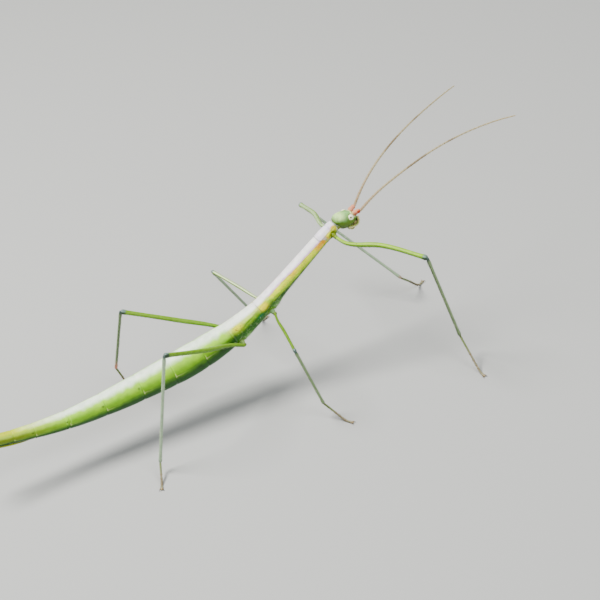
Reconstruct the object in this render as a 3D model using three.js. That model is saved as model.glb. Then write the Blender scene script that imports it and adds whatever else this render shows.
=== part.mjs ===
import * as THREE from "three";

// A stick insect standing on its six feet, at its size in life, in millimetres.
// It faces -Y with its back up (+Z), so its right side is at -X. Its feet stand on z = 0,
// and the origin lies there, under the middle of the model's box.

const DEG = Math.PI / 180;
const CUT = 0.1; // the thin gap that parts one piece from the next
const CENTRE_SHIFT = { x: 1.115, y: -0.47 }; // brings the middle of the model's box over the origin

// ---- The body's line ----
// The axis of the trunk lies in the plane x = 0. Going back from the neck it falls by the
// angles below (degrees), which change evenly between these distances behind the neck.
const NECK = { y: -24.4, z: 33.8 };
const FALL = [
  [0, 29], [5, 34], [16, 34], [22, 33.3], [27, 25.2], [33, 18.7], [38, 14], [48, 7.5], [59, 5],
  [70, 1], [78, -5], [86, -9.5], [98, -14],
];

// The trunk's pieces from the neck back, with their lengths along the axis. The first ring
// of the abdomen has grown to the metathorax, so the free rings start with the second.
const TRUNK = [
  ["prothorax", 5.0], ["mesothorax", 20.3], ["metathorax", 8.8],
  ["abdomen_2", 7.5], ["abdomen_3", 7.9], ["abdomen_4", 7.9], ["abdomen_5", 8.9],
  ["abdomen_6", 8.6], ["abdomen_7", 7.8], ["abdomen_8", 4.9], ["abdomen_9", 4.4],
  ["abdomen_10", 4.0],
];

// Half the trunk's width and half its height, by distance behind the neck.
const HALF_SIZE = [
  [0, 1.3, 1.3], [1.2, 1.52, 1.48], [4.6, 1.67, 1.62], [5.4, 1.67, 1.62], [12, 1.78, 1.72],
  [20, 2.02, 1.96], [24, 2.27, 2.2], [28, 2.55, 2.48], [33, 2.93, 2.85], [37, 3.25, 3.15],
  [42, 3.55, 3.45], [47, 3.6, 3.5], [53, 3.35, 3.25], [60, 3.05, 2.95], [66, 2.72, 2.62],
  [72, 2.36, 2.28], [80, 1.9, 1.82], [86, 1.62, 1.52], [92, 1.42, 1.3], [97, 1.05, 0.85],
];
const RING_SWELL = 0.03; // how far each piece of the trunk narrows towards its seams
const TRUNK_SIDES = 14;
const TRUNK_STEP = 1.6; // the longest stretch of trunk between two sections

// ---- Head and feelers ----
const HEAD = { ahead: -0.3, lift: 0.88, nod: 12, turn: 8 };
// By distance from the neck: half width, height above the head's axis, depth below it.
const HEAD_PROFILE = [
  [0, 0.8, 0.8, 0.3], [0.4, 1.2, 1.2, 0.7], [1.2, 1.6, 1.52, 1.75], [2.3, 1.78, 1.64, 2.35],
  [3.3, 1.74, 1.58, 2.35], [4.2, 1.5, 1.34, 2.1], [4.5, 1.36, 1.0, 1.97], [4.8, 1.22, 0.4, 1.85],
  [5.4, 0.92, 0.15, 1.5], [5.8, 0.55, 0.05, 1.05],
];
const EYE = { radius: 0.68, bulge: 0.62, along: 3.25, up: 0.89, lastRing: 80 };
const SCAPE = { along: 4.6, out: 0.72, up: 0.97, clear: 0.3, length: 1.8, half: 0.58, tip: 0.42, gap: 0.3 };
const FLAGELLUM_HALF = 0.28;
const WHIP_PIECES = 24;
const FEELERS = {
  right: {
    turn: [[0, 8], [43, 22]],
    rise: [[0, 10], [1.8, 10], [2.1, 40], [4, 38], [10, 29], [19, 26], [28, 18], [36, 11], [43, 3]],
  },
  left: {
    turn: [[0, 19], [43, 26]],
    rise: [[0, 18], [1.8, 18], [2.1, 48], [4, 45], [8, 35], [14, 22], [20, 13], [28, 5], [43, -4]],
  },
};
const FEELER_LENGTH = 43;

// The mouth, down from the head's axis: how far down, how far forward, half width, half depth.
const MOUTH = [
  [2.25, 4.7, 0.6, 0.35], [2.45, 4.6, 0.8, 0.5], [2.8, 4.3, 0.75, 0.5], [3.05, 4.1, 0.5, 0.35],
];
// The right palp's bends in the head's directions: along, outwards, up.
const PALP = [
  [3.5, 1.25, -2.1], [4.8, 1.35, -2.05], [5.75, 1.35, -1.35], [5.95, 1.25, -0.5], [5.65, 1.15, 0.2],
];
const PALP_HALF = 0.28;

// ---- Legs ----
// Lengths of the three long joints of a leg, and `stout`, which scales the femur's thickness.
// The femur bends by `bow` at its middle.
const LEG_KINDS = {
  front: { femur: 25.2, tibia: 29.3, tarsus: 11.3, stout: 1.0, bow: 0.5 },
  mid: { femur: 17.45, tibia: 17.3, tarsus: 8.0, stout: 0.85, bow: 0.0 },
  hind: { femur: 27.0, tibia: 26.9, tarsus: 6.8, stout: 0.95, bow: 0.3 },
};
// Where each leg's hip is: `at` behind the neck, then `out` and `down` from the trunk's axis.
const HIPS = {
  front: { at: 1.84, out: 2.25, down: 0.83 },
  mid: { at: 23.64, out: 2.5, down: 1.85 },
  hind: { at: 32.88, out: 3.0, down: 2.31 },
};
// How each leg stands: the tip of its foot on the floor, the way the foot points in the plan
// (degrees from +X towards +Y), the height of the ankle, and the knee's swing about the
// straight line from hip to ankle (degrees, 0 where the knee is right above that line). The
// femur bends by `hook` near its root, the other way than it bows where `hook` is above 0.
const STANCE = {
  right_front: { kind: "front", foot: [-28.4, -42.3], heading: -178, ankle: 6.0, swing: 26, hook: 0.9 },
  right_mid: { kind: "mid", foot: [-25.2, -10.9], heading: -147, ankle: 3.7, swing: 18, hook: 0.1 },
  right_hind: { kind: "hind", foot: [-20.4, 33.3], heading: 157, ankle: 2.6, swing: -5.3, hook: 0.2 },
  left_front: { kind: "front", foot: [12.0, -47.8], heading: -57, ankle: 7.1, swing: -82, hook: 0.3 },
  left_mid: { kind: "mid", foot: [22.6, -11.2], heading: -63, ankle: 5.7, swing: -33, hook: 0.1 },
  left_hind: { kind: "hind", foot: [17.9, 25.1], heading: -129, ankle: 5.0, swing: -26, hook: -0.4 },
};
const LEG_SIDES = 8;
const FLAT = Math.cos(Math.PI / LEG_SIDES); // how near a flat side lies, where a corner is at 1
// Half thickness along each joint of a leg, from its root (0) to its end (1).
const FEMUR_HALF = [[0, 0.42], [0.12, 0.42], [0.4, 0.55], [0.8, 0.5], [0.96, 0.55], [1, 0.45]];
const TIBIA_HALF = [[0, 0.3], [0.04, 0.38], [0.12, 0.34], [0.9, 0.33], [1, 0.38]];
const KNEE_ROOM = 0.08; // extra room between the femur's end and the tibia
const LEAST_FOLD = 0.35; // keeps a nearly closed joint from opening a long gap
const TARSUS_HALF = 0.29;
const TOE = 1.7; // the end of the foot that lies flat on the floor
const TOE_HALF_WIDTH = 0.45; // half the width of the claws and the pad between them
const COXA_HALF = 0.78;
const COXA_TAPER = 0.35; // how much of its thickness the coxa loses towards the hip

// ---- Tail ----
const TAIL_FROM = 78; // the rings behind this distance are yellower
// The plate under the tail, by distance behind the neck. It is narrow at both ends: `ends`
// gives the part of a half turn of a sine that shapes it.
const PLATE = { from: 84, to: 95, half: 1.1, thick: 0.5, ends: [0.12, 0.94], edge: 0.55 };
const CERCUS = { length: 2.1, half: 0.32, tip: 0.25, out: 0.42, spread: 0.15 };

const LOOKS = {
  back: { color: 0xb9d58c, roughness: 0.35 },
  thorax: { color: 0xd9e3c2, roughness: 0.4 },
  tail: { color: 0xa8bf4e, roughness: 0.4 },
  head: { color: 0x9db97e, roughness: 0.45 },
  eye: { color: 0xece8cf, roughness: 0.15 },
  feelerBase: { color: 0xc4503f, roughness: 0.45 },
  feeler: { color: 0xa98a63, roughness: 0.5 },
  mouth: { color: 0x8c8a4e, roughness: 0.5 },
  palp: { color: 0xd9d6b4, roughness: 0.5 },
  femur: { color: 0x7ea23a, roughness: 0.4 },
  tibia: { color: 0x6f8a4a, roughness: 0.45 },
  tarsus: { color: 0x6d6a55, roughness: 0.5 },
};

const insect = new THREE.Group();
insect.position.set(CENTRE_SHIFT.x, CENTRE_SHIFT.y, 0);

// ---- Shared shapes ----

// Reads a table of [place, value, value...] rows, with even changes between its rows.
function read(table, place, column = 1) {
  const last = table.length - 1;
  if (place <= table[0][0]) return table[0][column];
  if (place >= table[last][0]) return table[last][column];
  const row = table.findIndex((entry) => entry[0] > place);
  const [a, b] = [table[row - 1], table[row]];
  return THREE.MathUtils.mapLinear(place, a[0], b[0], a[column], b[column]);
}

// A closed section around `centre`: `across` and `up` are unit vectors, and the three half
// sizes reach sideways, up and down. A flat side faces straight down.
function section(centre, across, up, half, above, below, sides) {
  const points = [];
  for (let k = 0; k < sides; k += 1) {
    const angle = ((k + 0.5) * 2 * Math.PI) / sides;
    const lift = Math.sin(angle) * (Math.sin(angle) > 0 ? above : below);
    const aside = Math.cos(angle) * half;
    points.push(centre.clone().addScaledVector(across, aside).addScaledVector(up, lift));
  }
  return points;
}

// A closed solid through a row of sections, with flat ends.
function loft(sections) {
  const sides = sections[0].length;
  const corners = sections.flat();
  const index = [];
  for (let ring = 0; ring + 1 < sections.length; ring += 1) {
    for (let k = 0; k < sides; k += 1) {
      const a = ring * sides + k;
      const b = ring * sides + ((k + 1) % sides);
      index.push(a, b, b + sides, a, b + sides, a + sides);
    }
  }
  const lastRing = (sections.length - 1) * sides;
  for (let k = 1; k + 1 < sides; k += 1) {
    index.push(0, k + 1, k);
    index.push(lastRing, lastRing + k, lastRing + k + 1);
  }
  if (volume(corners, index) < 0) index.reverse();
  const geometry = new THREE.BufferGeometry().setFromPoints(corners);
  geometry.setIndex(index);
  geometry.computeVertexNormals();
  return geometry;
}

// Six times the signed volume inside the triangles, which is positive if they face outwards.
function volume(corners, index) {
  let sum = 0;
  for (let k = 0; k < index.length; k += 3) {
    const [a, b, c] = [corners[index[k]], corners[index[k + 1]], corners[index[k + 2]]];
    sum += a.dot(b.clone().cross(c));
  }
  return sum;
}

// A solid of round section along `points`. `half` gives half the thickness at 0 to 1 along
// them, and `across` is square to the way the points run.
function limb(points, half, across, sides = LEG_SIDES) {
  const sections = points.map((point, k) => {
    const before = points[Math.max(k - 1, 0)];
    const after = points[Math.min(k + 1, points.length - 1)];
    const along = after.clone().sub(before).normalize();
    const up = across.clone().cross(along).normalize();
    const size = half(k / (points.length - 1));
    return section(point, across, up, size, size, size, sides);
  });
  return loft(sections);
}

function add(name, geometry, look) {
  const material = new THREE.MeshStandardMaterial({ ...LOOKS[look], metalness: 0 });
  const mesh = new THREE.Mesh(geometry, material);
  mesh.name = name;
  insect.add(mesh);
}

// ---- Trunk ----
const SIDEWAYS = new THREE.Vector3(1, 0, 0);
const LINE_STEP = 0.25;
const trunkLength = TRUNK.reduce((sum, [, length]) => sum + length, 0);

// The point of the axis at a distance behind the neck, and the axis's own up and back there.
const line = [new THREE.Vector3(0, NECK.y, NECK.z)];
for (let s = 0; s < trunkLength; s += LINE_STEP) {
  const fall = read(FALL, s + LINE_STEP / 2) * DEG;
  const step = new THREE.Vector3(0, Math.cos(fall), -Math.sin(fall)).multiplyScalar(LINE_STEP);
  line.push(line[line.length - 1].clone().add(step));
}
function axis(s) {
  const place = THREE.MathUtils.clamp(s / LINE_STEP, 0, line.length - 1.001);
  const k = Math.floor(place);
  const fall = read(FALL, s) * DEG;
  return {
    point: line[k].clone().lerp(line[k + 1], place - k),
    back: new THREE.Vector3(0, Math.cos(fall), -Math.sin(fall)),
    up: new THREE.Vector3(0, Math.sin(fall), Math.cos(fall)),
  };
}

// How far a joint of half thickness `next` starts from the end of one of half thickness
// `half`, so that they don't touch when the angle between them is `fold`.
function clearance(half, next, fold) {
  const open = Math.max(Math.sin(fold), LEAST_FOLD);
  return (half + CUT + next * Math.max(Math.cos(fold), 0)) / open;
}

function trunkSection(s, swell) {
  const { point, up } = axis(s);
  const half = read(HALF_SIZE, s, 1) * swell;
  const height = read(HALF_SIZE, s, 2) * swell;
  return section(point, SIDEWAYS, up, half, height, height, TRUNK_SIDES);
}

let reach = 0;
for (const [name, length] of TRUNK) {
  const [from, to] = [reach + CUT / 2, reach + length - CUT / 2];
  const steps = Math.max(3, Math.ceil(length / TRUNK_STEP));
  const sections = [];
  for (let k = 0; k <= steps; k += 1) {
    const t = k / steps;
    const swell = 1 - RING_SWELL * Math.pow(2 * t - 1, 4);
    sections.push(trunkSection(THREE.MathUtils.lerp(from, to, t), swell));
  }
  let look = name.startsWith("abdomen") ? "back" : "thorax";
  if (reach > TAIL_FROM) look = "tail";
  add(name, loft(sections), look);
  reach += length;
}

// The plate under the eighth to tenth rings that covers the egg opening, shaped like a boat.
const plateSections = [];
for (let k = 0; k <= 6; k += 1) {
  const t = k / 6;
  const s = THREE.MathUtils.lerp(PLATE.from, PLATE.to, t);
  const { point, up } = axis(s);
  const full = Math.sqrt(Math.sin(Math.PI * THREE.MathUtils.lerp(...PLATE.ends, t)));
  const drop = read(HALF_SIZE, s, 2) + CUT + PLATE.thick / 2;
  const centre = point.clone().addScaledVector(up, -drop);
  const thick = (PLATE.thick / 2) * THREE.MathUtils.lerp(PLATE.edge, 1, full);
  plateSections.push(section(centre, SIDEWAYS, up, PLATE.half * full, thick, thick, LEG_SIDES));
}
add("subgenital_plate", loft(plateSections), "tail");

for (const [side, name] of [[1, "left"], [-1, "right"]]) {
  const { point, back } = axis(trunkLength);
  const root = point.clone().addScaledVector(back, CUT);
  root.x += side * CERCUS.out;
  const tip = root.clone().addScaledVector(back, CERCUS.length);
  tip.x += side * CERCUS.spread;
  const points = [0, 0.5, 1].map((t) => root.clone().lerp(tip, t));
  const half = (t) => THREE.MathUtils.lerp(CERCUS.half, CERCUS.tip, t);
  add(`cercus_${name}`, limb(points, half, SIDEWAYS), "tail");
}

// ---- Head ----
// A direction that turns to the left from straight ahead and rises from level, in degrees.
function facing(turn, rise) {
  const level = Math.cos(rise * DEG);
  const aside = Math.sin(turn * DEG) * level;
  const ahead = Math.cos(turn * DEG) * level;
  return new THREE.Vector3(aside, -ahead, Math.sin(rise * DEG));
}

// The head's own directions: it nods down from level, and turns a little to its left.
const headFront = facing(HEAD.turn, -HEAD.nod);
const headAcross = facing(HEAD.turn + 90, 0);
const headUp = headFront.clone().cross(headAcross).normalize();
const headRoot = line[0].clone()
  .addScaledVector(headFront, HEAD.ahead)
  .addScaledVector(headUp, HEAD.lift);

function headPlace(along, out, up) {
  return headRoot.clone()
    .addScaledVector(headFront, along)
    .addScaledVector(headAcross, out)
    .addScaledVector(headUp, up);
}

const headSections = HEAD_PROFILE.map(([along, half, above, below]) =>
  section(headPlace(along, 0, 0), headAcross, headUp, half, above, below, TRUNK_SIDES));
add("head", loft(headSections), "head");

// A dome on the cheek, of EYE's size: `axisOut` is the way it bulges.
function dome(centre, axisOut, sides, rings) {
  const across = new THREE.Vector3().crossVectors(headFront, axisOut).normalize();
  const up = axisOut.clone().cross(across).normalize();
  const sections = [];
  for (let k = 0; k <= rings; k += 1) {
    const angle = (k / rings) * EYE.lastRing * DEG;
    const size = EYE.radius * Math.cos(angle);
    const place = centre.clone().addScaledVector(axisOut, EYE.bulge * Math.sin(angle));
    sections.push(section(place, across, up, size, size, size, sides));
  }
  return loft(sections);
}

for (const [side, name] of [[1, "left"], [-1, "right"]]) {
  // The eye sits where the cheek turns over to the brow, a little above the head's axis.
  const cheek = read(HEAD_PROFILE, EYE.along, 1);
  const crown = read(HEAD_PROFILE, EYE.along, 2);
  const tilt = Math.asin(EYE.up / crown);
  const out = headAcross.clone()
    .multiplyScalar(side * Math.cos(tilt))
    .addScaledVector(headUp, Math.sin(tilt));
  const place = headPlace(EYE.along, side * (cheek * Math.cos(tilt) + CUT), EYE.up);
  add(`eye_${name}`, dome(place, out, 12, 4), "eye");
}

// The mouth: the lip and jaws hang under the front of the head, with a palp on each side.
const mouthSections = MOUTH.map(([down, front, half, thick]) =>
  section(headPlace(front, 0, -down), headAcross, headFront, half, thick, thick, LEG_SIDES));
add("mouthparts", loft(mouthSections), "mouth");

for (const [side, name] of [[1, "left"], [-1, "right"]]) {
  const bends = PALP.map(([along, out, up]) => headPlace(along, side * out, up));
  const points = new THREE.CatmullRomCurve3(bends).getPoints(10);
  add(`palp_${name}`, limb(points, () => PALP_HALF, headAcross), "palp");
}

// Each feeler: a stout base of two joints, then the long whip, which turns outwards by degrees
// from straight ahead and rises from level, both by distance from its root.
for (const [side, name] of [[1, "left"], [-1, "right"]]) {
  const { turn, rise } = FEELERS[name];
  const course = (s) => facing(side * read(turn, s), read(rise, s));
  const across = facing(side * read(turn, FEELER_LENGTH / 2) + 90, 0);
  const socket = headPlace(SCAPE.along, side * SCAPE.out, SCAPE.up);
  const root = socket.clone().addScaledVector(course(0), SCAPE.clear);
  const start = socket.clone().addScaledVector(course(0), SCAPE.length);
  const base = [0, 0.25, 0.5, 0.75, 1].map((t) => root.clone().lerp(start, t));
  const baseHalf = (t) => THREE.MathUtils.lerp(SCAPE.half, SCAPE.tip, t);
  add(`antenna_base_${name}`, limb(base, baseHalf, across), "feelerBase");

  const whip = [start.clone().addScaledVector(course(0), SCAPE.gap)];
  const step = (FEELER_LENGTH - SCAPE.length) / WHIP_PIECES;
  for (let k = 0; k < WHIP_PIECES; k += 1) {
    const s = SCAPE.length + (k + 0.5) * step;
    whip.push(whip[k].clone().addScaledVector(course(s), step));
  }
  add(`antenna_${name}`, limb(whip, () => FLAGELLUM_HALF, across), "feeler");
}

// ---- Legs ----
const UP = new THREE.Vector3(0, 0, 1);

// The knee: the two long joints meet above the line from hip to ankle, swung about it.
function kneeOf(hip, ankle, femur, tibia, swing) {
  const way = ankle.clone().sub(hip);
  const span = way.length();
  way.normalize();
  const above = UP.clone().addScaledVector(way, -way.z).normalize();
  const beside = way.clone().cross(above);
  const along = (femur ** 2 - tibia ** 2 + span ** 2) / (2 * span);
  const height = Math.sqrt(femur ** 2 - along ** 2);
  return hip.clone()
    .addScaledVector(way, along)
    .addScaledVector(above, height * Math.cos(swing))
    .addScaledVector(beside, height * Math.sin(swing));
}

for (const [name, stance] of Object.entries(STANCE)) {
  const kind = LEG_KINDS[stance.kind];
  const side = name.startsWith("left") ? 1 : -1;
  const place = HIPS[stance.kind];
  const { point, up } = axis(place.at);
  const outwards = new THREE.Vector3(side * place.out, 0, 0).addScaledVector(up, -place.down);
  const hip = point.clone().add(outwards);
  outwards.normalize();

  const heading = stance.heading * DEG;
  const ahead = new THREE.Vector3(Math.cos(heading), Math.sin(heading), 0);
  const tip = new THREE.Vector3(stance.foot[0], stance.foot[1], TARSUS_HALF * FLAT);
  const toe = tip.clone().addScaledVector(ahead, -TOE);
  const rise = stance.ankle - toe.z;
  const run = Math.sqrt((kind.tarsus - TOE) ** 2 - rise ** 2);
  const ankle = toe.clone().addScaledVector(ahead, -run).addScaledVector(UP, rise);
  const knee = kneeOf(hip, ankle, kind.femur, kind.tibia, stance.swing * DEG);
  const thigh = knee.clone().sub(hip).normalize();
  const shin = ankle.clone().sub(knee).normalize();
  const bendAxis = thigh.clone().cross(shin).normalize();

  // The coxa, a short cone from the flank to the hip.
  const flank = read(HALF_SIZE, place.at, 1);
  const root = point.clone().addScaledVector(outwards, flank + CUT);
  const coxaPoints = [0, 0.35, 0.75, 1].map((t) => root.clone().lerp(hip, t));
  const coxaHalf = (t) => COXA_HALF * (1 - COXA_TAPER * t * t);
  add(`${name}_coxa`, limb(coxaPoints, coxaHalf, axis(place.at).back), "femur");

  // The femur leaves the hip in a small hook, and then bows a little the other way.
  const hookWay = bendAxis.clone().multiplyScalar(side);
  const start = hip.clone().addScaledVector(outwards, CUT + FEMUR_HALF[0][1]);
  const bends = [
    start,
    hip.clone().lerp(knee, 0.12).addScaledVector(hookWay, stance.hook),
    hip.clone().lerp(knee, 0.5).addScaledVector(hookWay, -kind.bow),
    knee,
  ];
  const femurPoints = new THREE.CatmullRomCurve3(bends).getPoints(12);
  const femurHalf = (t) => read(FEMUR_HALF, t) * kind.stout;
  add(`${name}_femur`, limb(femurPoints, femurHalf, bendAxis), "femur");

  // The tibia starts clear of the femur's end, and the foot clear of the tibia's.
  const fold = Math.PI - thigh.angleTo(shin);
  const clear = clearance(read(FEMUR_HALF, 1) + KNEE_ROOM, TIBIA_HALF[0][1], fold);
  const shinStart = knee.clone().addScaledVector(shin, clear);
  const shinPoints = TIBIA_HALF.map(([t]) => shinStart.clone().lerp(ankle, t));
  const shinHalf = (t) => TIBIA_HALF[Math.round(t * (TIBIA_HALF.length - 1))][1];
  add(`${name}_tibia`, limb(shinPoints, shinHalf, bendAxis), "tibia");

  const instep = toe.clone().sub(ankle).normalize();
  const footAcross = ahead.clone().cross(UP).normalize();
  const ankleFold = Math.PI - shin.angleTo(instep);
  const footClear = clearance(read(TIBIA_HALF, 1), TARSUS_HALF, ankleFold);
  const footStart = ankle.clone().addScaledVector(instep, footClear);
  const footPoints = [0, 0.33, 0.66].map((t) => footStart.clone().lerp(toe, t));
  footPoints.push(toe, tip);
  const footSections = footPoints.map((spot, k) => {
    const onFloor = k >= footPoints.length - 2;
    const footUp = onFloor ? UP : footAcross.clone().cross(instep).normalize();
    const width = onFloor ? TOE_HALF_WIDTH : TARSUS_HALF;
    return section(spot, footAcross, footUp, width, TARSUS_HALF, TARSUS_HALF, LEG_SIDES);
  });
  add(`${name}_tarsus`, loft(footSections), "tarsus");
}

export default insect;
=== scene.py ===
import math
from types import SimpleNamespace

import bpy
import numpy as np
from mathutils import Matrix, Vector


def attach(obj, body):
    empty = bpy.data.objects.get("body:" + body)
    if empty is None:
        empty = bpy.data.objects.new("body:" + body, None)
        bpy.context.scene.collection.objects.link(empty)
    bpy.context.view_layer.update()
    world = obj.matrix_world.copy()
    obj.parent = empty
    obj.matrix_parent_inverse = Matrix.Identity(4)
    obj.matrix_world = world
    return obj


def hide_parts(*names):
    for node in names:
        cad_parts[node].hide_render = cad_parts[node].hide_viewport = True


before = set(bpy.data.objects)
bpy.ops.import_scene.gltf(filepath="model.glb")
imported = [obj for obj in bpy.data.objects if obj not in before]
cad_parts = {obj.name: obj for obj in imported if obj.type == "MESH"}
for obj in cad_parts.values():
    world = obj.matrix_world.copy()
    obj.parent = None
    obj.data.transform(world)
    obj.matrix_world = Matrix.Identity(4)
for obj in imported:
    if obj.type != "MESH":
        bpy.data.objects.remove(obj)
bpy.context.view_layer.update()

# ---- Stage: floor, camera and light ----
# The model stands on a plain pale floor. The camera looks down on its right side, tilted to
# the right. A broad lamp from above and a weaker one light it, with an even pale sky.
MM = 0.001
DEG = math.pi / 180
FLOOR_SIZE = 6.0
FLOOR_COLOUR = (0.42, 0.425, 0.41)
SKY_COLOUR = (0.80, 0.86, 0.92)
SKY_STRENGTH = 0.20
# The camera and the lamps stand off the target by a turn from -Y towards +X and a rise above
# level, in degrees. The target and the camera's distance are in millimetres.
TARGET = (1.115, -13.32, 18.05)
CAMERA = {"turn": -107.7, "rise": 35.6, "roll": 11.9, "distance": 450.0, "lens": 120.0}
# Each lamp: its turn, its rise, its distance and its width in metres, its power in watts and
# its colour.
LAMPS = {
    "key_lamp": (150.0, 62.0, 0.55, 0.24, 6.8, (1.0, 0.985, 0.96)),
    "side_lamp": (295.0, 46.0, 0.70, 0.40, 4.4, (0.97, 0.98, 1.0)),
}


def facing(turn, rise):
    """A direction by its turn and rise in degrees: its level part is the cosine of the rise,
    and points to -Y by the cosine of the turn and to +X by its sine."""
    turn, rise = np.asarray(turn) * DEG, np.asarray(rise) * DEG
    return np.stack([np.sin(turn) * np.cos(rise), -np.cos(turn) * np.cos(rise), np.sin(rise)], -1)


def put(name, data):
    """Puts an object with this data into the scene."""
    thing = bpy.data.objects.new(name, data)
    bpy.context.scene.collection.objects.link(thing)
    return thing


def build_stage():
    """The floor is one square. The camera stands off its target and looks back at it, with its
    right and up turned by the roll. Each lamp stands off the same target and faces it."""
    corners = [(-1, -1, 0), (1, -1, 0), (1, 1, 0), (-1, 1, 0)]
    mesh = bpy.data.meshes.new("floor")
    mesh.from_pydata([[FLOOR_SIZE / 2 * c for c in corner] for corner in corners], [], [(0, 1, 2, 3)])
    matt = bpy.data.materials.new("floor_paint")
    matt.use_nodes = True
    shader = matt.node_tree.nodes["Principled BSDF"]
    shader.inputs["Base Color"].default_value = (*FLOOR_COLOUR, 1)
    shader.inputs["Roughness"].default_value = 0.85
    mesh.materials.append(matt)
    put("floor", mesh)

    world = bpy.data.worlds.new("sky")
    world.use_nodes = True
    background = world.node_tree.nodes["Background"]
    background.inputs["Color"].default_value = (*SKY_COLOUR, 1)
    background.inputs["Strength"].default_value = SKY_STRENGTH
    bpy.context.scene.world = world

    target = np.array(TARGET) * MM
    away = facing(CAMERA["turn"], CAMERA["rise"])
    level = facing(CAMERA["turn"] + 90, 0)
    lift = np.cross(away, level)
    roll = CAMERA["roll"] * DEG
    right = level * math.cos(roll) - lift * math.sin(roll)
    up = level * math.sin(roll) + lift * math.cos(roll)
    lens = bpy.data.cameras.new("camera")
    lens.lens = CAMERA["lens"]
    lens.sensor_width = 36.0
    lens.clip_start = 0.01
    camera = put("camera", lens)
    camera.matrix_world = Matrix((right, up, away)).transposed().to_4x4()
    camera.location = Vector(target) + Vector(away) * CAMERA["distance"] * MM
    bpy.context.scene.camera = camera

    for name, (turn, rise, distance, width, power, tint) in LAMPS.items():
        lamp = bpy.data.lights.new(name, "AREA")
        lamp.shape = "DISK"
        lamp.size = width
        lamp.energy = power
        lamp.color = tint
        way = facing(turn, rise)
        placed = put(name, lamp)
        placed.location = target + way * distance
        placed.rotation_euler = Vector(way).to_track_quat("Z", "Y").to_euler()


build_stage()

# ---- Trunk: one skin from the neck to the last ring ----
# The body wall is a thin hard cuticle in plates, one ring behind the other, with soft folds
# between the back plates and the belly plates. It is moulded here as one closed skin.
TRUNK_SIDES = 96
TRUNK_ROW = 0.17
ACROSS = np.array([1.0, 0, 0])
# How far the whole insect is moved by x and y, so that the model's box lies about the origin,
# and from there the y and the height of its neck.
CENTRE = (1.115, -0.47)
NECK = (-24.4, 33.8)
# How steeply the trunk's axis falls towards the tail, in degrees, by distance behind the neck.
FALL = (
    (0, 29), (5, 34), (16, 34), (22, 33.3), (27, 25.2), (33, 18.7), (38, 14), (48, 7.5), (59, 5),
    (70, 1), (78, -5), (86, -9.5), (98, -14),
)
# The rings' lengths: three of the thorax, then the second to the tenth of the abdomen.
RINGS = (5.0, 20.3, 8.8, 7.5, 7.9, 7.9, 8.9, 8.6, 7.8, 4.9, 4.4, 4.0)
RING_NODES = ("prothorax", "mesothorax", "metathorax", *(f"abdomen_{k}" for k in range(2, 11)))
# Half the trunk's width and half its height, by distance behind the neck.
HALF_SIZE = (
    (0, 1.3, 1.3), (1.2, 1.52, 1.48), (4.6, 1.67, 1.62), (5.4, 1.67, 1.62), (12, 1.78, 1.72),
    (20, 2.02, 1.96), (24, 2.27, 2.2), (28, 2.55, 2.48), (33, 2.93, 2.85), (37, 3.25, 3.15),
    (42, 3.55, 3.45), (47, 3.6, 3.5), (53, 3.35, 3.25), (60, 3.05, 2.95), (66, 2.72, 2.62),
    (72, 2.36, 2.28), (80, 1.9, 1.82), (86, 1.62, 1.52), (92, 1.42, 1.3), (97, 1.05, 0.85),
)
# The girth angle, in degrees from the midline of the back, of the back plates' lower edge.
PLATE_EDGE = (
    (0, 56), (5, 58), (12, 50), (20, 37), (25, 44), (33, 66), (42, 79), (57, 84), (66, 88),
    (75, 93), (96, 99),
)
# The girth angle of the ridge along the side of the thorax, under the yellow stripe.
SIDE_RIDGE = ((0, 96), (5, 108), (12, 95), (18, 79), (22, 66), (25, 82), (30, 92), (34, 98))
# Where each pair of legs hangs: distance behind the neck, then out and down from the axis.
HIPS = {"front": (1.84, 2.25, 0.83), "mid": (23.64, 2.5, 1.85), "hind": (32.88, 3.0, 2.31)}
SOCKET_RADIUS = 0.92
# The granules on the thorax: how many, and from where to where they lie along it and round
# it, and how large they are.
GRANULES = {"count": 110, "along": (5.6, 33), "around": (4, 60), "size": (0.06, 0.11)}


def ease(value, low, high):
    """Smooth step from 0 at low to 1 at high: three times t squared less twice t cubed."""
    t = np.clip((value - low) / (high - low), 0, 1)
    return t * t * (3 - 2 * t)


def fade(value, low, high):
    """The smooth step the other way: 1 at low and 0 at high."""
    return 1 - ease(value, low, high)


def hump(distance, width):
    """Bell curve: e to the power of minus the square of distance over width."""
    return np.exp(-((distance / width) ** 2))


def closing(share, most=0.995, power=2):
    """How a tube's end draws in: the root of one less the share's power, which is a quarter of
    an ellipse. The share is held between 0 and the most."""
    return np.sqrt(1 - np.clip(share, 0, most) ** power)


def tally(steps):
    """The running sum of the steps, from 0."""
    return np.concatenate([np.zeros((1, *steps.shape[1:])), np.cumsum(steps, axis=0)])


# Where one ring ends and the next begins, by distance behind the neck.
SEAMS = tally(np.array(RINGS))


def read(table, place):
    """Reads a table of rows (place, value) with straight lines between its rows."""
    return np.interp(place, *np.array(table, float).T[:2])


def cubic(t, gap, values, slopes):
    """A cubic between two values, as t goes from 0 to 1 over a gap, with the slopes given."""
    first = (2 * t**3 - 3 * t**2 + 1) * values[0] + (t**3 - 2 * t**2 + t) * gap * slopes[0]
    return first + (3 * t**2 - 2 * t**3) * values[1] + (t**3 - t**2) * gap * slopes[1]


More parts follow.
